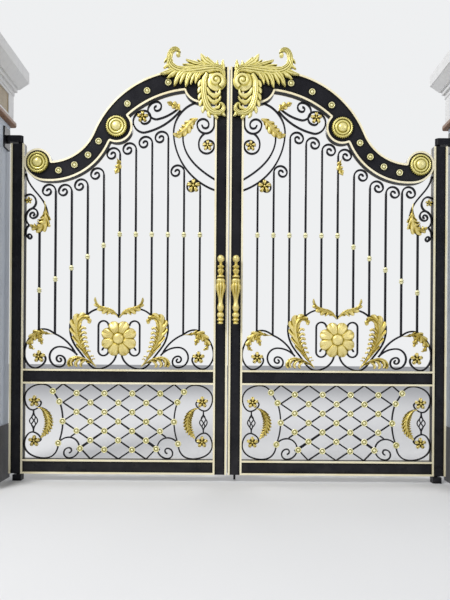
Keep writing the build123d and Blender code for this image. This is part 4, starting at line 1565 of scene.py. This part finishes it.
@dataclass
class Studio:
    """Pale floor and backdrop, soft lights and the camera."""

    floor_size: float = 60.0
    floor_color: Color = (0.72, 0.72, 0.72, 1.0)
    sky_color: Color = (0.93, 0.95, 1.0, 1.0)
    sky_strength: float = 0.46
    backdrop_color: Color = (0.86, 0.87, 0.88, 1.0)
    camera_place: tuple[float, float, float] = (-0.020, -3.880, 0.926)
    focal_pixels: float = 571.0
    picture_pixels: float = 600.0
    sensor_height: float = 36.0
    roll_degrees: float = 0.4
    shift_up: float = 0.083

    def lay_floor(self) -> None:
        """Lay the pale floor."""
        mesh = bmesh.new()
        bmesh.ops.create_grid(mesh, x_segments=8, y_segments=8, size=self.floor_size / 2)
        data = put_down(mesh, "studio_floor")
        floor = add_object("studio_floor", data)
        material = bpy.data.materials.new("studio_floor")
        material.use_nodes = True
        sheet = NodeSheet(material.node_tree)
        sheet.adjust(sheet.tree.nodes["Principled BSDF"], Base_Color=self.floor_color, Roughness=0.8)
        data.materials.append(material)

    def light(self) -> None:
        """Set a plain bright sky, a pale backdrop that only the camera sees, and three soft lamps."""
        world = bpy.data.worlds.new("studio_sky")
        bpy.context.scene.world = world
        world.use_nodes = True
        sheet = NodeSheet(world.node_tree)
        sky = sheet.adjust(sheet.tree.nodes["Background"], Color=self.sky_color, Strength=self.sky_strength)
        seen = sheet.add("ShaderNodeBackground", Color=self.backdrop_color, Strength=1.0)
        path = sheet.add("ShaderNodeLightPath").outputs
        choice = sheet.add("ShaderNodeMixShader")
        straight = sheet.math("MAXIMUM", path["Is Camera Ray"], path["Is Transmission Ray"])
        for number, socket in enumerate((straight, sky.outputs[0], seen.outputs[0])):
            sheet.join(socket, choice.inputs[number])
        sheet.join(choice.outputs[0], sheet.tree.nodes["World Output"].inputs["Surface"])
        for name, place, size, watts, aim_height in (
            ("key_lamp", (-4.5, -5.0, 7.5), 2.5, 620.0, 1.4),
            ("fill_lamp", (5.5, -5.0, 4.0), 4.0, 110.0, 1.2),
            ("back_lamp", (0.0, 6.0, 6.0), 5.0, 200.0, 1.2),
        ):
            data = bpy.data.lights.new(name, "AREA")
            data.size = size
            data.energy = watts
            lamp = add_object(name, data)
            lamp.location = place
            away = Vector(place) - Vector((0.0, 0.0, aim_height))
            lamp.rotation_euler = away.to_track_quat("Z", "Y").to_euler()

    def place_camera(self) -> None:
        """Place the camera where the gate was seen from."""
        data = bpy.data.cameras.new("gate_camera")
        data.sensor_fit = "VERTICAL"
        data.sensor_height = self.sensor_height
        data.lens = self.focal_pixels / self.picture_pixels * self.sensor_height
        data.shift_y = self.shift_up
        data.clip_end = 200.0
        camera = add_object("gate_camera", data)
        level = Matrix.Rotation(math.radians(90.0), 4, "X")
        turn = level @ Matrix.Rotation(math.radians(self.roll_degrees), 4, "Z")
        camera.matrix_world = Matrix.Translation(self.camera_place) @ turn
        bpy.context.scene.camera = camera

    def build(self) -> None:
        """Build the studio."""
        self.lay_floor()
        self.light()
        self.place_camera()


def main() -> None:
    """Build the gate's looks and the studio."""
    bpy.context.scene.view_settings.view_transform = "Standard"
    kit = FinishKit()
    shop = Workshop({slot: finish.build(kit) for slot, finish in FINISHES.items()})
    shop.dress_frame()
    for side in Side:
        for castings in (Studs, Medallions, LeafCastings, Collars, Flowers, Crest, Handle):
            castings(side).build(shop)
        FriezeTiles(side).build(shop)
    ClosingStrip().build(shop)
    Studio().build()


if __name__ == "__main__":
    main()
